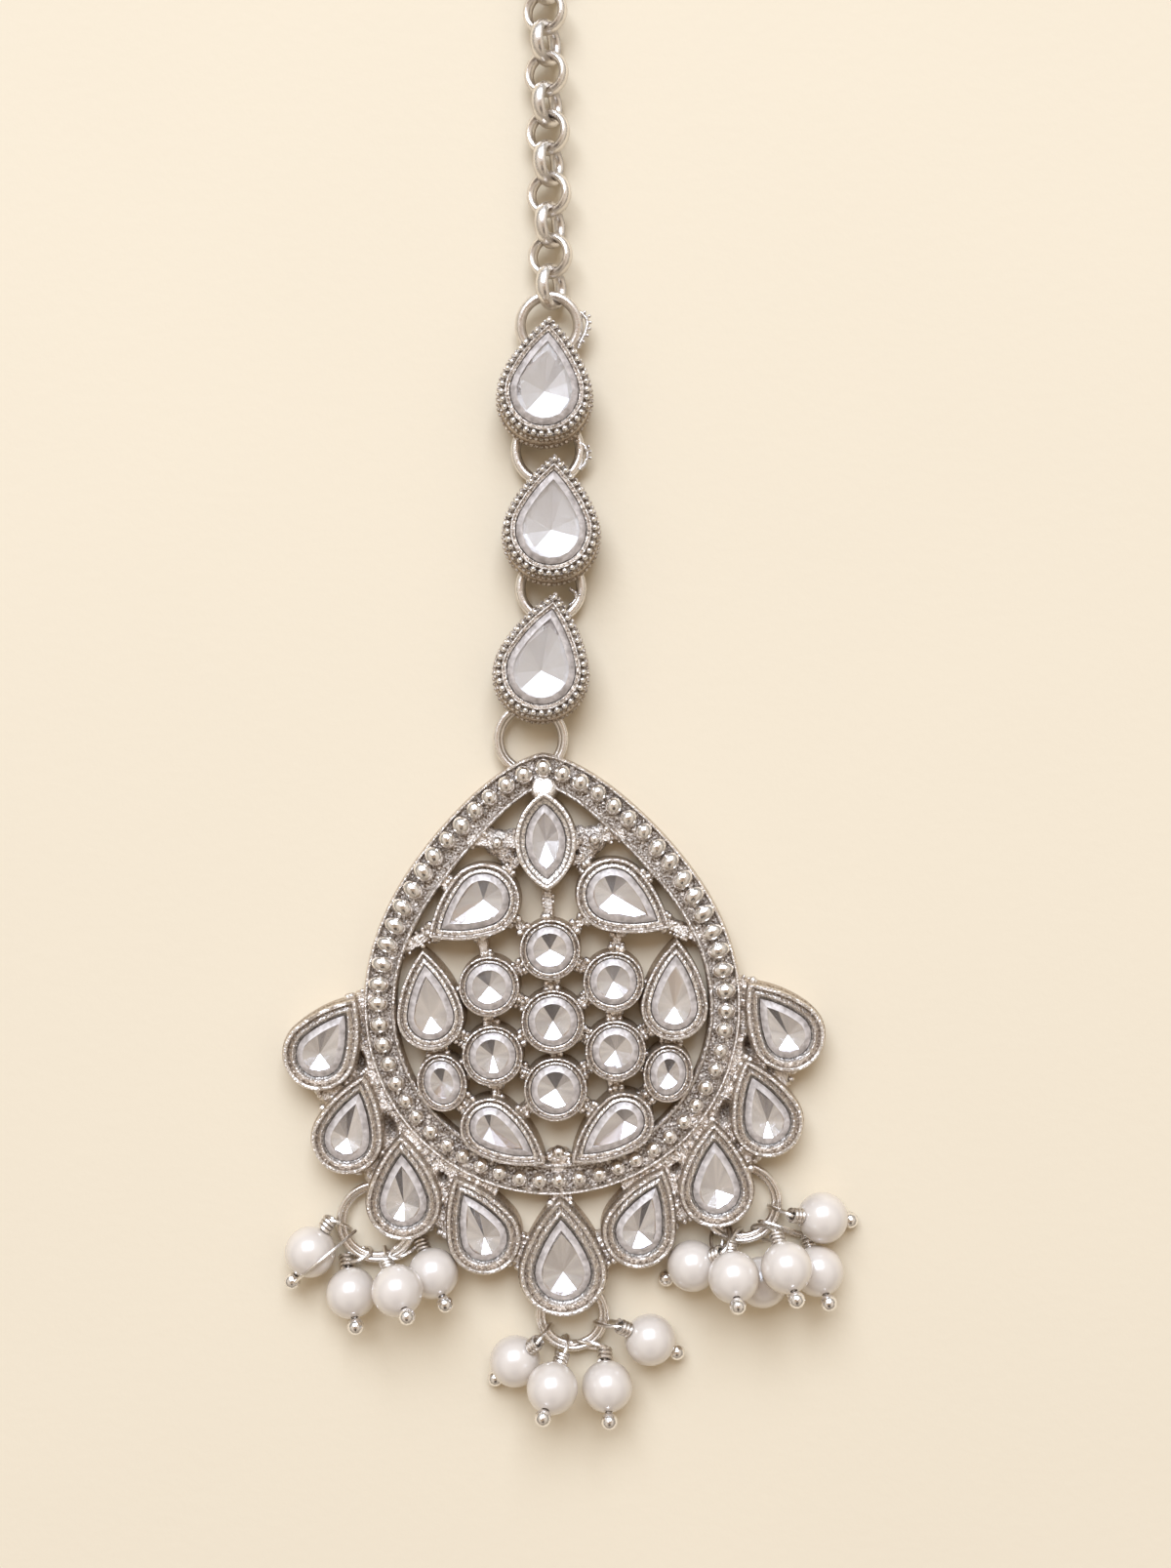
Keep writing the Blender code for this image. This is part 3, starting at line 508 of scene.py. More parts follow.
class Lie:
    """How a stone and its setting lie, read from the stone's solid: the middle of the round end,
    which way the point is, the half width and reach of the setting and its rim's height."""

    def __init__(self, stone):
        self.stone = stone
        name = stone.removeprefix("stone_")
        self.bezel = next(width for key, width in BEZELS.items() if name.startswith(key))
        found = points_of(stone)
        self.at = foot_of(stone)
        self.rim = found[:, 2].max() + RIM_ABOVE
        # The girdle's points are those well below the table and well above the back.
        girdle = found[(found[:, 2] < self.rim - 0.2) & (found[:, 2] > found[:, 2].min() + 0.1)]
        away = girdle[:, :2] - self.at
        far = np.linalg.norm(away, axis=1)
        reach = far.max()
        self.up = away[far.argmax()] / reach
        self.right = np.array([self.up[1], -self.up[0]])
        across, along = np.abs(away @ self.right), away @ self.up
        if name.startswith(("round", "oval")):
            self.shape = oval
            wide = np.abs(along) < 0.7 * reach
            half = (across[wide] / np.sqrt(1 - (along[wide] / reach) ** 2)).mean()
            self.radius, self.reach = half + self.bezel, reach + self.bezel
        elif name == "marquise":
            self.shape = marquise
            near = far.argmin()
            back = (reach**2 - far[near] ** 2) / (2 * across[near])
            side = math.hypot(back, reach) + self.bezel
            self.radius, self.reach = side - back, math.sqrt(side**2 - back**2)
        else:
            self.shape = pear
            self.radius = far.min() + self.bezel
            side = SIDE_ARC * self.radius
            back = side - self.radius
            lean = ((side - self.bezel) ** 2 - back**2 - reach**2) / (2 * back * reach)
            self.reach = math.sqrt(side**2 - (back * math.sqrt(1 - lean**2)) ** 2) - back * lean

    def outline(self, inset):
        """Points of the outline, moved in by inset, from the point round by the right."""
        if inset is CENTRE:
            return np.broadcast_to(self.at, (AROUND, 2))
        flat = self.shape(self.radius, self.reach, inset)
        return self.at + flat[:, :1] * self.right + flat[:, 1:] * self.up

    def moved(self, up, wider, bezel):
        """The same lie with its round end moved up, its half width changed and its point kept."""
        other = copy.copy(self)
        other.at, other.reach = self.at + up * self.up, self.reach - up
        other.radius, other.bezel = self.radius + wider, bezel
        return other

    def rings(self, profile, deepest):
        """Rings of points for a profile of (share of the setting's width, height, ...)."""
        made = []
        for share, height, *_ in profile:
            inset = CENTRE if share is CENTRE else share * self.bezel
            made.append(lifted(self.outline(inset), max(self.rim + height, deepest)))
        return np.array(made)


def roughen(cups, first, last, depth):
    """Makes the rows of each cup from first up to last uneven by about depth mm."""
    cups[:, first:last] += rng.normal(0, depth, cups[:, first:last].shape)


stones = sorted(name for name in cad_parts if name.startswith("stone_"))
lies = {name: Lie(name) for name in stones}
inner = [lie for name, lie in lies.items()
         if not any(kind in name for kind in ("petal", "drop", "marquise"))]
petals = [lie for name, lie in lies.items() if "petal" in name]
DROP_RISE, DROP_NARROW = 0.35, 0.08  # how far a drop's rim has moved from its foot, and narrowed
drops = []
for name in [name for name in stones if "drop" in name]:
    raised = lies[name].moved(DROP_RISE, -DROP_NARROW, BEZELS["drop"])
    raised.foot, lies[name] = lies[name], raised
    drops.append(raised)

cups = np.array([lie.rings(CUP_PROFILE, 0.0) for lie in inner])
roughen(cups, 5, 9, RIM_UNEVEN)
piece("inner_settings", cups, polished_rim, hollow=hollow_of(CUP_PROFILE))

MARQUISE_PROFILE = [
    # as CUP_PROFILE
    (CENTRE, -3.1, 0.7), (-0.1, -3.1, 0.7), (-0.07, -2.8, 0.7), (-0.04, -1.0, 0.5),
    (-0.02, -0.36, 0.3), (0.0, -0.14, 0.0), (0.06, -0.03, 0.0), (0.14, 0.0, 0.0),
    (0.3, 0.0, 0.0), (0.38, -0.03, 0.0), (0.44, -0.14, 0.2), (0.49, -0.28, 0.8),
    (0.55, -0.33, 0.7), (0.7, -0.36, 0.3), (0.85, -0.4, 0.35), (0.985, -0.5, 0.4),
    (1.5, -1.3, 0.2), (CENTRE, -1.38, 0.2),
]
cup = lies["stone_marquise"].rings(MARQUISE_PROFILE, 0.0)
piece("marquise_setting", [cup], polished_rim, hollow=hollow_of(MARQUISE_PROFILE))

PETAL_PROFILE = [
    # as CUP_PROFILE
    (CENTRE, -2.9, 0.7), (-0.14, -2.9, 0.5), (-0.14, -2.4, 0.4), (-0.13, -1.2, 0.3),
    (-0.11, -0.95, 0.1), (-0.14, -0.75, 0.1), (-0.06, -0.6, 0.8), (-0.03, -0.3, 0.3),
    (0.0, -0.1, 0.0), (0.06, -0.01, 0.0), (0.2, 0.0, 0.0), (0.27, -0.06, 0.1),
    (0.31, -0.28, 0.8), (0.35, -0.4, 1.0), (0.41, -0.38, 0.7), (0.47, -0.28, 0.2),
    (0.6, -0.2, 0.1), (0.68, -0.1, 0.0), (0.75, -0.11, 0.0), (0.82, -0.3, 0.6),
    (0.9, -0.36, 0.2), (0.985, -0.5, 0.3), (1.45, -1.1, 0.2), (CENTRE, -1.18, 0.2),
]
cups = np.array([lie.rings(PETAL_PROFILE, 0.0) for lie in petals])
roughen(cups, 6, 20, RIM_UNEVEN)
piece("petal_settings", cups, polished_rim, hollow=hollow_of(PETAL_PROFILE))

# --------------------------------------
# Bars and granules of the casting. Low lumpy bars tie the settings to each other and to the
# border, and a rough web with pits painted dark as shade fills the corners behind the petals.
# Balls of metal sit beside the marquise and wherever a bar meets a setting, and a bright plate
# above the marquise.

BARS = [
    # from x, y to x, y, and width; the left half mirrors the right
    (0.0, 11.0, 0.0, 5.5, 0.75), (0.0, 4.6, 4.9, 1.9, 0.9), (0.0, 4.6, 0.0, -1.05, 0.9),
    (0.0, -1.05, 4.9, 1.9, 0.9), (0.0, -1.05, 4.85, -3.55, 0.9), (0.0, -1.05, 0.0, -6.4, 0.9),
    (4.9, 1.9, 4.85, -3.55, 0.9), (4.85, -3.55, 0.0, -6.4, 0.9), (0.0, 4.6, 5.1, 8.75, 0.8),
    (4.9, 1.9, 5.7, 8.0, 0.9), (4.9, 1.9, 9.6, 0.6, 0.9), (4.85, -3.55, 9.6, -0.9, 0.9),
    (4.85, -3.55, 8.9, -5.5, 1.2), (9.6, -0.3, 8.9, -5.5, 1.4), (4.85, -3.55, 4.7, -9.15, 0.9),
    (0.0, -6.4, 4.4, -9.3, 0.9), (8.9, -5.5, 5.6, -9.0, 1.2), (0.0, -11.3, 0.0, -13.2, 1.6),
    (0.0, 12.9, 6.6, 13.5, 1.1), (5.1, 8.75, 2.0, 12.0, 0.8), (5.6, 9.0, 9.0, 10.6, 0.9),
    (8.6, 6.6, 12.9, 4.5, 1.2), (16.2, 0.4, 13.4, 1.5, 1.8), (15.6, -6.2, 13.2, -4.0, 1.8),
    (12.35, -11.4, 10.8, -8.6, 1.8), (7.6, -14.4, 6.9, -12.0, 1.8), (0.0, -17.0, 0.0, -13.6, 1.6),
    (18.2, -3.9, 16.9, -8.6, 2.4), (15.9, -10.5, 13.2, -14.0, 2.4), (11.4, -15.4, 7.1, -17.4, 2.4),
    (5.2, -18.3, 1.2, -20.4, 2.4),
]
BAR_TOP, BAR_ROWS, BAR_SIDES = 1.72, 18, 14
NUB_STATIONS, NUB_SIDES = 40, (-1, -0.2, 1)  # places along a bar, and across it in half widths
NUBS = [
    # from and up to how far outside the nearest setting, share kept, heights, radii
    (-0.05, 0.32, 0.5, (1.5, 1.95), (0.2, 0.36)),
    (0.3, math.inf, 0.16, (1.35, 1.65), (0.14, 0.26)),
]
WEB_TOP, WEB_FALL, WEB_ROUGH, PIT_DEPTH = 1.75, 0.6, 0.1, 1.2
WEB_ROWS, WEB_COLUMNS = 26, 64
WEB_PAST = 0.24  # radians, how far the web runs past the first petal's middle
PITS = [
    # pits painted dark as shade: x, y, half their length, half their width, and the heading of
    # their length
    (15.48, -3.7, 0.85, 0.42, 80.0),
    (13.36, -8.96, 0.95, 0.5, 65.0),
    (9.25, -13.18, 0.45, 0.3, 45.0),
]
GRANULES = [
    # round balls: x, y, height, radius
    (3.85, 13.15, 2.1, 0.5), (4.85, 13.9, 1.75, 0.34), (0.0, -11.6, 1.5, 0.6),
    (-0.72, -11.95, 1.5, 0.36), (0.75, -11.85, 1.5, 0.34),
]
NUGGETS = [
    # rough lumps under the upper ones: x, y, height, radius
    (3.7, 13.1, 1.2, 1.12), (3.2, 12.2, 1.2, 0.75), (4.7, 13.75, 1.2, 0.82), (2.7, 13.6, 1.3, 0.65),
]
PLATE_FOOT, PLATE_EDGE, PLATE_COLUMNS = 1.0, 1.3, 15
PLATE = [
    # bright plate above the marquise: y, half its width, height of its middle
    (16.2, 0.4, 1.9), (16.5, 0.85, 2.5), (17.0, 1.2, 2.42), (17.5, 1.3, 2.3),
    (17.9, 1.1, 2.15), (18.3, 0.65, 1.95), (18.5, 0.3, 1.75),
]


def mirrored(table):
    """Rows of (x, y, ...) and their mirror images, save those on the middle line."""
    flipped = table[np.abs(table[:, 0]) > 1.0] * ([-1.0] + [1.0] * (table.shape[1] - 1))
    return np.vstack([table, flipped])


def bar_ends(table):
    """Start, end and width of each bar, in mm."""
    table = np.array(table)
    flipped = table[(table[:, 0] != 0) | (table[:, 2] != 0)] * (-1, 1, -1, 1, 1)
    table = np.vstack([table, flipped])
    return on_pendant(table[:, 0], table[:, 1]), on_pendant(table[:, 2], table[:, 3]), table[:, 4]


def beside(start, end, share, out):
    """Points at a share of the way along each bar and out mm to its left."""
    ahead = unit(end - start)
    left = np.column_stack([-ahead[:, 1], ahead[:, 0]])
    flat = start[:, None] + share[..., None] * (end - start)[:, None]
    return flat + out[..., None] * left[:, None]


def bars(start, end, width, around):
    """Each bar has a section that is flat below and round above, the superellipse
    (cos, 1.3 sin); its width wanders a little, and its ends close to a point."""
    lump = rng.uniform(0.9, 1.22, (len(start), BAR_ROWS))
    lump[:, [0, -1]] = 0.0
    out = 0.5 * width[:, None, None] * lump[..., None] * np.cos(around)
    share = np.linspace(0, 1, BAR_ROWS)[None, :, None] + 0 * out
    flat = beside(start, end, share.reshape(len(start), -1), out.reshape(len(start), -1))
    height = BAR_TOP * (0.5 + 0.5 * lump[..., None] * np.clip(1.3 * np.sin(around), -1, 1))
    return lifted(flat.reshape(*out.shape, 2), np.maximum(height, 0.0))


def gap_to_settings(flat):
    """How far points are outside the nearest setting, along the ray from its middle."""
    gaps = []
    for lie in inner + petals:
        rim, away = lie.outline(0.0) - lie.at, flat - lie.at
        reach = np.interp(np.arctan2(away[:, 1], away[:, 0]), np.arctan2(rim[:, 1], rim[:, 0]),
                          np.linalg.norm(rim, axis=1), period=2 * math.pi)
        gaps.append(np.linalg.norm(away, axis=1) - reach)
    return np.min(gaps, axis=0)


start, end, width = bar_ends(BARS)
around = steps_round(BAR_SIDES)
# The lower half of each bar's section is painted dark, as shade under it.
piece("bars", bars(start, end, width, around), cast_silver,
      hollow=np.clip(-np.sin(around), 0, 1)[None, :])

share = np.broadcast_to(np.linspace(0.1, 0.9, NUB_STATIONS), (len(start), NUB_STATIONS))
half = 0.5 * np.repeat(width[:, None], NUB_STATIONS, 1)
spots = np.vstack([beside(start, end, share, side * half).reshape(-1, 2) for side in NUB_SIDES])
gap = gap_to_settings(spots)
chance = rng.uniform(0, 1, len(spots))
kept = [spots[(gap > low) & (gap < high) & (chance < few)] for low, high, few, _, _ in NUBS]
place = np.vstack([lifted(flat, rng.uniform(*row[3], len(flat))) for flat, row in zip(kept, NUBS)])
size = np.concatenate([rng.uniform(*row[4], len(flat)) for flat, row in zip(kept, NUBS)])
piece("bar_nubs", balls(place, size, 10, 7), polished_rim, hollow=0.0)

x, y, height, size = mirrored(np.array(GRANULES)).T
piece("granules", balls(lifted(on_pendant(x, y), height), size, 20, 11), bright_ball, hollow=0.0)
x, y, height, size = mirrored(np.array(NUGGETS)).T
lumps = balls(lifted(on_pendant(x, y), height), size, 28, 15, 0.75)
roughen(lumps, 1, -1, 0.05)
piece("nuggets", lumps, cast_silver, 60, hollow=0.4)

y, half, height = np.array(PLATE).T
across = np.linspace(-1, 1, PLATE_COLUMNS)
flat = on_pendant(half[:, None] * across, y[:, None] + 0 * across)
top = lifted(flat, PLATE_EDGE + (height[:, None] - PLATE_EDGE) * (1 - across**6))
top[1:-1] += rng.normal(0, 0.03, top[1:-1].shape)
plate = np.concatenate([top, lifted(flat[:, ::-1], PLATE_FOOT)], axis=1)
piece("top_plate", [plate], polished_rim, 60, hollow=0.0)


def web():
    """Strips from the border's edge out to the straight lines between the middles of petals that
    are side by side, and one beside each first petal's point. Height: a plane with waves of
    noise that falls towards its outer edge, less exp(-(distance from a pit's middle) ** 4)."""
    feet = np.array([lie.at for lie in petals])
    turns = np.arctan2(-(feet - band_centre) @ pendant_right, (feet - band_centre) @ pendant_up)
    turns %= 2 * math.pi
    order = np.argsort(turns)
    turns, feet = turns[order], feet[order]
    # Each petal and the next, save the lowest petal and its two neighbours.
    pairs = [(turns[k], turns[k + 1], feet[k], feet[k + 1]) for k in (0, 1, 2, 5, 6, 7)]
    for k, side in ((0, -1), (-1, 1)):
        lie = petals[order[k]]
        point = lie.at + 0.93 * lie.reach * lie.up
        pairs.append((turns[k], turns[k] + side * WEB_PAST, lie.at, point))
    pit_at = mirrored(np.array(PITS))
    strips, pits = [], []
    for first, last, near, far in pairs:
        share = np.linspace(0, 1, WEB_COLUMNS)
        edge = band_curve(first + share * (last - first), "outer", 0.3)
        line = near + share[:, None] * (far - near)
        out = np.linspace(0, 1, WEB_ROWS)[:, None]
        flat = edge + out[..., None] * (line - edge)
        pit = np.zeros(flat.shape[:2])
        for x, y, long, wide, heading in pit_at:
            lean = math.radians(heading if x > 0 else 180 - heading)
            away = flat - on_pendant(x, y)
            away = np.stack([away @ pendant_right, away @ pendant_up], axis=-1)
            ahead = away @ (math.cos(lean), math.sin(lean))
            aside = away @ (-math.sin(lean), math.cos(lean))
            pit = np.maximum(pit, np.exp(-(((ahead / long) ** 2 + (aside / wide) ** 2) ** 2)))
        height = WEB_TOP - PIT_DEPTH * pit - WEB_FALL * out**3
        height += WEB_ROUGH * rng.normal(0, 1, pit.shape)
        height[0] = height[-1] = 0.0
        strips.append(lifted(flat, height))
        pits.append(pit)
    return np.array(strips), np.array(pits)


strips, pits = web()
under = strips[:, [0, -1]]
strips = np.concatenate([under[:, :1], strips, under[:, 1:]], axis=1)
# The pits are painted dark, as shade.
piece("petal_web", strips, cast_silver, closed=(True, False),
      hollow=np.pad(pits, ((0, 0), (1, 1), (0, 0))))

# --------------------------------------
# The stones: moulded glass with a flat table, a sloped crown and a pointed back that is foiled,
# so that the facets behind shine through the table.

GIRDLE, TABLE, CROWN = -0.34, -RIM_ABOVE, 0.5  # heights from the rim, and the crown's width
FACET_COLUMNS = 24
BACK_SLOPE, PETAL_SLOPE = 12.0, 14.5  # degrees, of the main facets behind; steeper in the petals
EDGE_SLOPE = 9.0  # of the small facets round them
BACK_SHARE = 0.74  # how far out the main facets reach
STONE_TILT = 1.0  # degrees, how unevenly the stones are bedded
MILKY = {"drop": 0.85, "marquise": 0.5, "upper": 0.35}  # how soft the foil shines behind them
MILKY_ELSE = 0.15


def glass():
    """Clear and colourless."""
    finish = Finish("clear_glass")
    wave = finish.noise(3.0)
    finish.surface(bump=wave, depth=0.01, Base_Color=(0.99, 0.985, 0.985),
                   Roughness=0.01 + 0.02 * wave, Transmission_Weight=1.0, IOR=1.46)
    return finish.owner


def frosted():
    """The crown: moulded glass over silvered sides, too uneven to see through, painted darker
    towards the girdle as shade where it meets the setting.
    """
    finish = Finish("frosted_crown")
    cloud, fine = finish.noise(0.5), finish.grain(0.3)
    # Darker towards the girdle as painted shade; the cloud is random tone.
    shade = (cloud - 0.35) * 1.8 + (finish.layer("crown") - 0.3) * 0.7
    colour = finish.mixed(shade.clamped(), (0.72, 0.655, 0.61), (0.30, 0.26, 0.23))
    finish.surface(bump=cloud + 0.5 * fine, depth=0.06, Base_Color=colour, Metallic=0.2,
                   Roughness=0.36 + 0.1 * cloud, Coat_Weight=0.25, Coat_Roughness=0.1)
    return finish.owner


def foil():
    """Silvered back: each facet has its own tint, and towards the girdle it is matt. Behind some
    stones its shine is soft all over."""
    finish = Finish("stone_foil")
    tint, cloud, milky = finish.layer("tint"), finish.noise(1.2), finish.layer("milky")
    colour = finish.mixed(tint, (0.98, 0.975, 1.0), (0.70, 0.695, 0.73))
    colour = finish.mixed(milky, colour, (1.0, 0.965, 0.92))
    finish.surface(Base_Color=colour, Metallic=1.0 - 0.65 * milky,
                   Roughness=0.04 + 0.06 * cloud + 0.4 * finish.layer("crown") + 0.3 * milky)
    return finish.owner


clear_glass, stone_foil, frosted_crown = glass(), foil(), frosted()


def cut_stone(lie):
    """Rows from the culet out to the girdle and back over the crown to the table's middle. The
    main facets of the back run from the culet to a middle ring whose odd points lie on the
    chords between the even ones; small facets run from there to the girdle."""
    pick = np.arange(FACET_COLUMNS) * AROUND // FACET_COLUMNS
    girdle = lie.outline(lie.bezel)[pick]
    table = lie.outline(lie.bezel + CROWN)[pick]
    level = lie.rim + GIRDLE
    wide = lie.radius - lie.bezel
    shallow = (1 - BACK_SHARE) * wide * math.tan(math.radians(EDGE_SLOPE))
    slope = math.radians(PETAL_SLOPE if "petal" in lie.stone else BACK_SLOPE)
    depth = shallow + BACK_SHARE * wide * math.tan(slope)
    share = BACK_SHARE + rng.uniform(-0.06, 0.06, FACET_COLUMNS)[:, None]
    ring = lifted(lie.at + share * (girdle - lie.at), level - shallow)
    tilt = np.radians(rng.normal(0, STONE_TILT, 2))
    ring[:, 2] += (ring[:, :2] - lie.at) @ tilt + rng.normal(0, 0.02, FACET_COLUMNS)
    ring[1::2] = (ring[0::2] + np.roll(ring[0::2], -1, axis=0)) / 2
    rows = [
        np.broadcast_to((*lie.at, level - depth), (FACET_COLUMNS, 3)),
        ring,
        lifted(girdle, level),
        lifted(table, lie.rim + TABLE),
        np.broadcast_to((*lie.at, lie.rim + TABLE), (FACET_COLUMNS, 3)),
    ]
    milky = next((value for key, value in MILKY.items() if key in lie.stone), MILKY_ELSE)
    made = piece(lie.stone.replace("stone", "gem"), [rows],
                 (clear_glass, stone_foil, frosted_crown), 0, slot="clear_glass",
                 replaces=[lie.stone], tint=rng.uniform(0, 1, FACET_COLUMNS),
                 crown=np.array([0, 0, 1, 0, 0])[:, None], milky=milky)
    heights = np.array([face.center.z / MM for face in made.data.polygons])
    kinds = np.where(heights < level - 0.01, 1, np.where(heights < lie.rim + TABLE - 0.01, 2, 0))
    made.data.polygons.foreach_set("material_index", kinds.astype(np.int32))


for lie in lies.values():
    cut_stone(lie)

# --------------------------------------
# The three drops: deep pear-shaped cups that stand on a wider foot, with white milgrain on the
# rim and two rows of grains and a bright ridge round the wall, each cast with a small beaded
# shoulder beside the ring above it. The grains and the low wall are painted dark, as oxide and
# as shade.

FOOT_WIDER = 0.1  # how much wider the foot of a drop is than its rim, on each side
DROP_BACK = 1.44  # height of a drop's back above the table
FOOT_PROFILE = [
    # how far from the rim out to the foot's outline, height from the rim, how dark it is painted,
    # as oxide and shade
    (CENTRE, -4.5, 0.7), (1.0, -4.5, 0.7), (1.0, -3.05, 0.6), (1.0, -2.7, 0.3),
    (0.84, -2.35, 0.9), (0.66, -1.9, 0.7), (0.62, -1.6, 0.0), (0.54, -1.42, 0.0),
    (0.46, -1.46, 0.2), (0.4, -1.3, 0.9), (0.2, -0.85, 1.0), (0.06, -0.6, 0.9),
]
RIM_PROFILE = [
    # share of the setting's width in from the rim's outline, height from the rim, how dark it is
    # painted, as oxide and shade
    (0.0, -0.46, 0.6), (0.03, -0.5, 1.0), (0.46, -0.52, 1.0), (0.5, -0.3, 0.4),
    (0.55, -0.12, 0.0), (0.63, -0.1, 0.0), (0.7, -0.26, 0.5), (0.78, -0.34, 0.3),
    (0.86, -0.26, 0.0), (0.93, -0.3, 0.1), (0.985, -0.5, 0.3), (1.5, -1.3, 0.2),
    (CENTRE, -1.6, 0.2),
]
DROP_UNEVEN = 0.012
RIM_BEADS, RIM_BEAD = 38, 0.235
BEADS_IN = 0.22  # how far in from the rim's outline, and below the rim, their middles lie
WALL_GRAINS = [
    # how far from the rim out to the foot's outline, height from the rim, radius, count
    (0.24, -0.95, 0.19, 62),
    (0.84, -2.4, 0.19, 66),
]


def between(lie, share):
    """An outline between the rim's and the foot's."""
    if share is CENTRE:
        return lie.outline(CENTRE)
    return (1 - share) * lie.outline(0.0) + share * lie.foot.outline(-FOOT_WIDER)


def along(path, count):
    """count points at equal lengths along a closed path."""
    path = np.vstack([path, path[:1]])
    length = np.concatenate([[0], np.cumsum(np.linalg.norm(np.diff(path, axis=0), axis=1))])
    at = np.arange(count) * length[-1] / count
    return np.column_stack([np.interp(at, length, path[:, i]) for i in (0, 1)])


cups = []
for lie in drops:
    rows = [lifted(between(lie, share), max(lie.rim + height, DROP_BACK))
            for share, height, _ in FOOT_PROFILE]
    cups.append(np.concatenate([rows, lie.rings(RIM_PROFILE, 0.0)]))
cups = np.array(cups)
roughen(cups, 16, 20, DROP_UNEVEN)
piece("drop_settings", cups, cast_silver, replaces=[f"drop_{n}_setting" for n in (1, 2, 3)],
      hollow=hollow_of(FOOT_PROFILE + RIM_PROFILE))

place = np.vstack([lifted(along(lie.outline(BEADS_IN), RIM_BEADS), lie.rim - BEADS_IN)
                   for lie in drops])
beads = balls(place, RIM_BEAD * rng.uniform(0.92, 1.05, len(place)), 14, 9)
piece("drop_milgrain", beads, bright_ball, hollow=0.0)
for number, (share, z, radius, count) in enumerate(WALL_GRAINS, 1):
    place = np.vstack([lifted(along(between(lie, share), count), lie.rim + z) for lie in drops])
    piece(f"drop_wall_grains_{number}", balls(place, radius, 8, 5), cast_silver, hollow=0.5)


UPWARD = np.array([0.0, 0.0, 1.0])


def from_datum(x, y, height):
    """A place x and y mm from DATUM, at a height above the table."""
    return np.array([DATUM[0] + x, DATUM[1] + y, height])


def tube(path, radius, normal, sides=12, closed=True):
    """Round wire along paths (..., points, 3): each section is the circle radius * (cos across +
    sin up), where across is normal crossed with the heading."""
    path = np.asarray(path, float)
    if closed:
        ahead = np.roll(path, -1, axis=-2) - np.roll(path, 1, axis=-2)
    else:
        ahead = np.gradient(path, axis=-2)
    ahead = unit(ahead)
    across = unit(np.cross(normal, ahead))
    up = np.cross(ahead, across)
    turn = steps_round(sides)[:, None]
    spokes = np.cos(turn) * across[..., None, :] + np.sin(turn) * up[..., None, :]
    made = path[..., None, :] + radius * spokes
    if not closed:
        first, last = (np.repeat(path[..., [k], None, :], sides, axis=-2) for k in (0, -1))
        made = np.concatenate([first, made, last], axis=-3)
    return made


WING_BEAD, WING_WIRE = 0.15, 0.17
WING_BEADS = [
    # x, y from DATUM and height of the beads on the edge of the casting's small shoulder
    (2.61, 56.0, 1.6), (2.96, 55.7, 1.6), (3.06, 55.2, 1.6), (2.99, 54.7, 1.6), (2.82, 54.17, 1.6),
    (2.51, 53.67, 1.6), (2.9, 45.4, 1.3), (3.06, 45.0, 1.3), (3.06, 44.5, 1.3), (2.2, 33.6, 1.3),
]
place = np.array([from_datum(*bead) for bead in WING_BEADS])
piece("wing_beads", balls(place, WING_BEAD, 12, 7), bright_ball, hollow=0.2)
WINGS = [
    # height of each shoulder's edge, and its x and y from DATUM; the ends are in the casting
    (1.35, [(1.9, 56.2), (2.4, 55.95), (2.72, 55.6), (2.83, 55.2), (2.76, 54.75), (2.58, 54.25),
            (2.28, 53.7), (2.1, 53.2)]),
    (1.2, [(1.9, 45.9), (2.55, 45.5), (2.8, 45.05), (2.82, 44.55), (2.6, 44.0), (2.2, 43.6)]),
    (1.2, [(1.4, 34.1), (1.85, 33.8), (1.95, 33.4), (1.7, 33.0), (1.4, 32.8)]),
]
for number, (height, run) in enumerate(WINGS, 1):
    edge = tube([lifted(np.array(run) + DATUM, height)], WING_WIRE, UPWARD, 10, closed=False)
    piece(f"wing_{number}", edge, bright_ball, hollow=0.55)

# --------------------------------------
# Jump rings of round wire between the chain, the drops and the pendant. The lowest is two turns
# of wire side by side.


def ring_of(node):
    """Middle, normal and mean radius of a ring's solid."""
    found = points_of(node)
    middle = (found.min(axis=0) + found.max(axis=0)) / 2
    normal = np.linalg.svd(found - found.mean(axis=0), full_matrices=False)[2][2]
    normal *= np.sign(normal[2])
    away = found - middle
    flat = away - (away @ normal)[:, None] * normal
    return middle, normal, np.linalg.norm(flat, axis=1).mean()


def circle(middle, normal, radius, count=64):
    """Points of a circle about any normal: middle + radius * (cos side + sin other)."""
    side = unit(np.cross((0.0, 1.0, 0.0), normal))
    turn = steps_round(count)[:, None]
    return middle + radius * (np.cos(turn) * side + np.sin(turn) * np.cross(normal, side))


def two_turns(middle, normal, radius, apart, wider):
    """Two circles side by side, the upper one a little wider."""
    return [circle(middle + apart * side * normal, normal, radius + wider * side)
            for side in (-1, 1)]


def bright_wire():
    """Plated wire: bright on top, painted darker as shade on its flanks and underside."""
    finish = Finish("polished_silver")
    cloud, skin = finish.noise(1.1), finish.noise(0.3, 3.0)
    # flank is painted shade on the wire's sides and underside.
    flank = ((finish.layer("slope") - 0.2) * 1.7).clamped()
    dark = (finish.layer("hollow") * 0.9 + flank * 0.4 + (cloud - 0.5) * 0.6).clamped()
    colour = finish.mixed(dark, (0.97, 0.92, 0.86), (0.19, 0.137, 0.09))
    finish.surface(bump=skin, depth=0.02, Base_Color=colour, Metallic=1.0,
                   Roughness=0.2 + 0.14 * skin + 0.15 * dark)
    return finish.owner


def wire(name, points, closed=True, finish=None, replaces=(), hollow=0.0):
    """A piece of polished wire, in closed rings or with ends. Its last argument is how much darker
    it is painted on the side that faces the middle of its ring."""
    inside = np.clip(np.cos(steps_round(np.shape(points)[-2])), 0, 1)[None, :]
    piece(name, points, finish or polished_silver, closed=(closed, True), slot="polished_silver",
          replaces=replaces, hollow=hollow * inside)


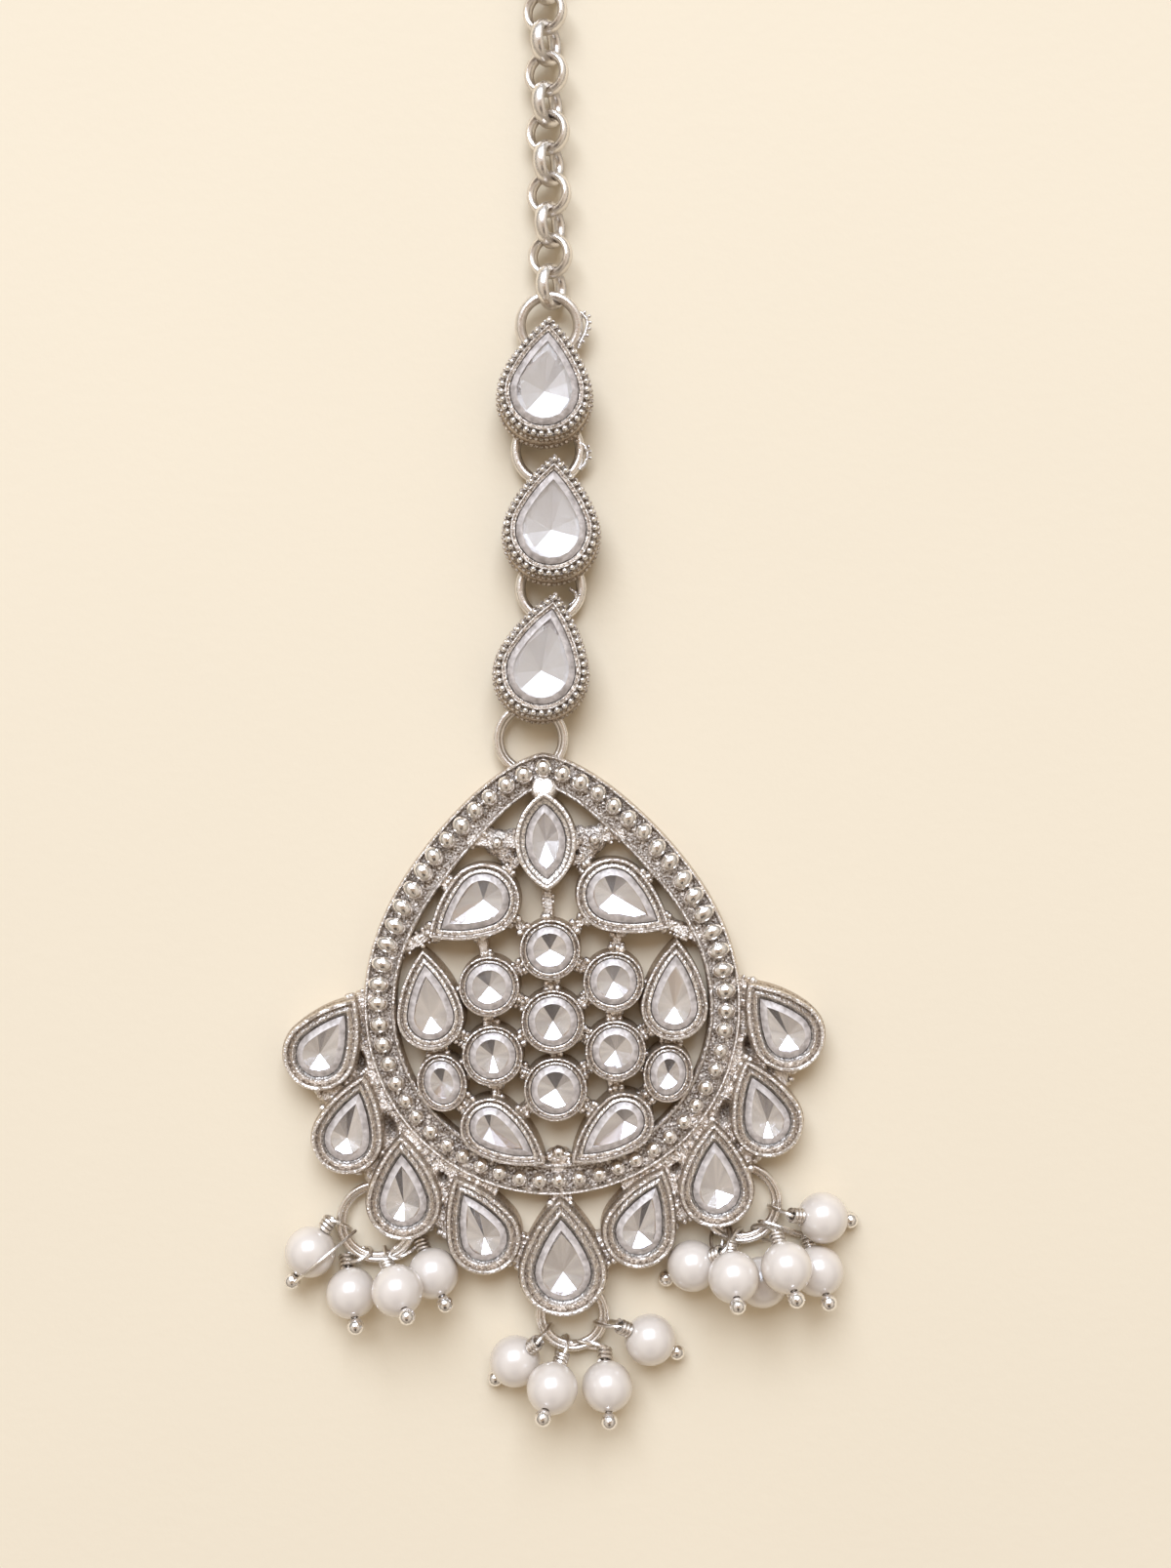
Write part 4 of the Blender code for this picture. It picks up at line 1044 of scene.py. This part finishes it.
polished_silver = bright_wire()
RING_WIRE, DOUBLE_WIRE = 0.42, 0.3
for number in (1, 2, 3, 4):
    middle, normal, mean = ring_of(f"jump_ring_{number}")
    if number == 4:
        turns = two_turns(middle, normal, mean, apart=0.2, wider=0.12)
        coils = tube(turns, DOUBLE_WIRE, normal, 16)
    else:
        coils = tube(circle(middle, normal, mean), RING_WIRE, normal, 16)
    wire(f"link_ring_{number}", coils, replaces=[f"jump_ring_{number}"], hollow=0.35)

# --------------------------------------
# The rolo chain: round soldered links, every other one turned on its edge. The hook at its free
# end is one bent wire that catches in the hair.

CHAIN_END, CHAIN_TOP_X = (-0.08, 58.0), -0.6
LINK_MEAN, LINK_WIRE = 1.485, 0.35
LINK_PITCH, LINK_LOOSE = 2.45, 2.2  # from link to link, and between the two stretches
LINK_TILT = (62.0, -20.0)  # degrees, of one link and the next
LINK_FLAT = 0.6  # how much wider than thick the wire is
CHAIN_HEIGHT = 1.71  # of the links' middles
STRETCHES = [("chain_lower", 6), ("chain_upper", 5)]
HOOK_WIRE, HOOK_EYE, HOOK_BEND, HOOK_SHANK, HOOK_LEG = 0.45, 1.5, 2.75, 9.0, 6.0
HOOK_GAP, HOOK_CLEAR = 0.06, 0.02  # from its eye to the last link, and above the table
LEG_TURN, LEG_FLARE = 3.5, 0.15  # how far down the leg it turns outwards, and how much
EYE_HEIGHT, HOOK_FALL = 1.62, 4.8  # and the length over which the wire comes down from there

link, y = 0, CHAIN_END[1]
links_in_all = sum(count for _, count in STRETCHES)
for name, count in STRETCHES:
    coils = []
    for i in range(count):
        if link:
            y += LINK_PITCH if i else LINK_LOOSE
        x = CHAIN_END[0] + (CHAIN_TOP_X - CHAIN_END[0]) * link / (links_in_all - 1)
        lean = math.radians(LINK_TILT[link % 2])
        normal = np.array([math.sin(lean), 0.0, math.cos(lean)])
        middle = from_datum(x, y, CHAIN_HEIGHT)
        coil = tube(circle(middle, normal, LINK_MEAN, 48), LINK_WIRE, normal)
        coils.append(coil + LINK_FLAT * ((coil - middle) @ normal)[..., None] * normal)
        link += 1
    wire(name + "_links", coils, replaces=[name], hollow=0.2)

hook_x = DATUM[0] + CHAIN_TOP_X
hook_y = DATUM[1] + y + LINK_MEAN - LINK_WIRE - HOOK_WIRE - HOOK_GAP + HOOK_EYE
turn = np.radians(np.linspace(100, -180, 40))
eye = HOOK_EYE * np.column_stack([np.cos(turn), np.sin(turn)])
shank = np.column_stack([np.full(24, -HOOK_EYE), np.linspace(0.3, HOOK_SHANK - 0.2, 24)])
turn = np.radians(np.linspace(180, 0, 32))
bend = HOOK_BEND * np.column_stack([1 + np.cos(turn), np.sin(turn)]) + (-HOOK_EYE, HOOK_SHANK)
back = np.linspace(0.2, HOOK_LEG, 16)
flare = LEG_FLARE * np.clip(back - LEG_TURN, 0, None) ** 1.5
leg = np.column_stack([2 * HOOK_BEND - HOOK_EYE + flare, HOOK_SHANK - back])
flat = np.vstack([eye, shank, bend, leg]) + (hook_x, hook_y)
fall = np.clip((flat[:, 1] - (hook_y - HOOK_EYE)) / HOOK_FALL, 0, 1)
path = lifted(flat, EYE_HEIGHT + (HOOK_WIRE + HOOK_CLEAR - EYE_HEIGHT) * fall)
bent = tube([path], HOOK_WIRE, UPWARD, 14, closed=False)
wire("hook", bent, closed=False, replaces=["hair_hook"])

# --------------------------------------
# Imitation pearls on head pins. Each pin passes through its pearl, is wound two or three times
# round itself above it and ends in a loop round the ring, which hangs in a petal's edge.

PEARL_RINGS = {
    # ring: x, y from DATUM, mean radius, and where each pearl's loop sits on it, degrees
    "left": (-13.94, -16.29, 2.85, (186.0, 245.0, 284.0, 308.0)),
    "bottom": (1.60, -23.65, 2.54, (212.0, 252.0, 290.0, 345.0)),
    "right": (15.04, -14.77, 2.85, (232.0, 266.0, 300.0, 322.0, 350.0, 249.0)),
}
PEARL_RADIUS, PEARL_BORE, RING_HEIGHT, COIL_WIRE = 2.0, 0.3, 0.88, 0.25
PIN_WIRE, HEAD_RADIUS, WRAPS, WRAP_RADIUS = 0.16, 0.66, 3.2, 0.46
PIN_PAST, WRAPS_FROM, WRAPS_TO = 1.0, 0.06, 1.1  # heights above the pearl, along the pin
HEAD_GAP = 0.04  # from the head to its pearl
LOOP_LEAN, LOOP_WIDE = 0.5, 0.85  # sideways share of its heading, and half its width
LOOP_ROUND, LOOP_OVER = 0.8, 0.1  # how far it runs past the ring's wire and past the pin's end


def nacre():
    """Rose-white lacquer under a soft clear coat, painted a little darker towards its edge and
    underside as shade.
    """
    finish = Finish("imitation_pearl")
    cloud, fine = finish.noise(2.5), finish.noise(0.6)
    # edge is painted shade: darker where the pearl turns away from up.
    edge = finish.layer("slope") ** 1.5
    middle = finish.mixed(cloud, (0.76, 0.685, 0.60), (0.72, 0.645, 0.57))
    colour = finish.mixed(edge, middle, (0.70, 0.615, 0.52))
    finish.surface(bump=fine, depth=0.004, Base_Color=colour, Roughness=0.3 + 0.05 * fine,
                   Coat_Weight=1.0, Coat_Roughness=0.18, Coat_IOR=1.8, Specular_IOR_Level=1.0)
    return finish.owner


imitation_pearl = nacre()


def pearl(name, centre, ahead):
    """Sphere with a bore: radius times (sin u, cos u) from one mouth to the other, then back
    along the bore's wall."""
    mouth = math.asin(PEARL_BORE / PEARL_RADIUS)
    u = np.linspace(math.pi - mouth, mouth, 31)
    profile = PEARL_RADIUS * np.column_stack([np.sin(u), np.cos(u)])
    side = unit(np.cross(ahead, UPWARD))
    v = steps_round(48)[:, None]
    around = np.cos(v) * side + np.sin(v) * np.cross(ahead, side)
    rows = centre + profile[:, :1, None] * around[None] + (profile[:, 1:] * ahead)[:, None, :]
    piece("bead_" + name, [rows], imitation_pearl, 60, closed=(True, True), slot="imitation_pearl",
          replaces=[name])


def pin(centre, ahead, on_ring, tangent):
    """A head pin's straight wire, its wraps (a helix) and its loop (an ellipse that reaches from
    round the ring's wire to the wraps), and the middle of its head. Loops are bent by hand, so
    each leans its own way."""
    top = centre - ahead * (PEARL_RADIUS + PIN_PAST)
    toward = unit(top - on_ring)
    up = unit(np.cross(tangent, toward) + rng.uniform(-LOOP_LEAN, LOOP_LEAN) * tangent)
    turn = (rng.uniform(0, 6) + np.linspace(0, 2 * math.pi * WRAPS, 60))[:, None]
    side = unit(np.cross(ahead, UPWARD))
    climb = np.linspace(PEARL_RADIUS + WRAPS_FROM, PEARL_RADIUS + WRAPS_TO, 60)[:, None]
    around = np.cos(turn) * side + np.sin(turn) * np.cross(ahead, side)
    helix = centre - climb * ahead + WRAP_RADIUS * around
    head = centre + ahead * (PEARL_RADIUS + HEAD_GAP + HEAD_RADIUS)
    straight = np.linspace(0, 1, 8)[:, None] * (top - head) + head
    long = (np.linalg.norm(top - on_ring) + LOOP_ROUND + LOOP_OVER) / 2
    middle = on_ring + (long - LOOP_ROUND) * toward
    turn = steps_round(40)[:, None]
    loop = middle + long * np.cos(turn) * toward + min(long, LOOP_WIDE) * np.sin(turn) * up
    for path in (helix, loop):  # neither sinks into the table
        path[:, 2] = np.maximum(path[:, 2], PIN_WIRE)
    return straight, helix, loop, head


for ring, (x, y, mean, seats) in PEARL_RINGS.items():
    middle = from_datum(x, y, RING_HEIGHT)
    turns = two_turns(middle, UPWARD, mean, apart=0.16, wider=0.17)
    wire(f"ring_{ring}", tube(turns, COIL_WIRE, UPWARD), replaces=[f"pearl_ring_{ring}"])
    straights, helices, loops, heads = [], [], [], []
    for number, seat in enumerate(seats, 1):
        name = f"pearl_{ring}_{number}"
        found = points_of(name)
        centre = (found.min(axis=0) + found.max(axis=0)) / 2
        ahead = np.linalg.svd(found - centre, full_matrices=False)[2][0]
        ahead *= np.sign(ahead @ (centre - middle))
        pearl(name, centre, ahead)
        angle = math.radians(seat)
        outward = np.array([math.cos(angle), math.sin(angle), 0.0])
        tangent = np.array([-outward[1], outward[0], 0.0])
        straight, helix, loop, head = pin(centre, ahead, middle + mean * outward, tangent)
        straights.append(tube(straight, PIN_WIRE, UPWARD, 8, closed=False))
        helices.append(tube(helix, PIN_WIRE, ahead, 8, closed=False))
        loops.append(tube(loop, PIN_WIRE, tangent, 8))
        heads.append(head)
    wire(f"pins_{ring}", straights, closed=False)
    piece(f"wraps_{ring}", helices, polished_silver, slot="polished_silver", hollow=0.1)
    wire(f"loops_{ring}", loops)
    wire(f"pin_heads_{ring}", balls(heads, HEAD_RADIUS, 20, 13), closed=False, finish=bright_ball)

# One pin lies across the face of its pearl instead of through it.
CROSSING_WIRE = 0.13
CROSSING = [(-15.6, -16.9, 1.5), (-17.9, -18.3, 5.9), (-20.3, -20.75, 2.5)]  # from DATUM
share = np.linspace(0, 1, 24)[:, None]
first, over, last = (from_datum(*point) for point in CROSSING)
path = (1 - share) ** 2 * first + 2 * share * (1 - share) * over + share**2 * last
wire("pin_across", tube([path], CROSSING_WIRE, UPWARD, 8, closed=False), closed=False)
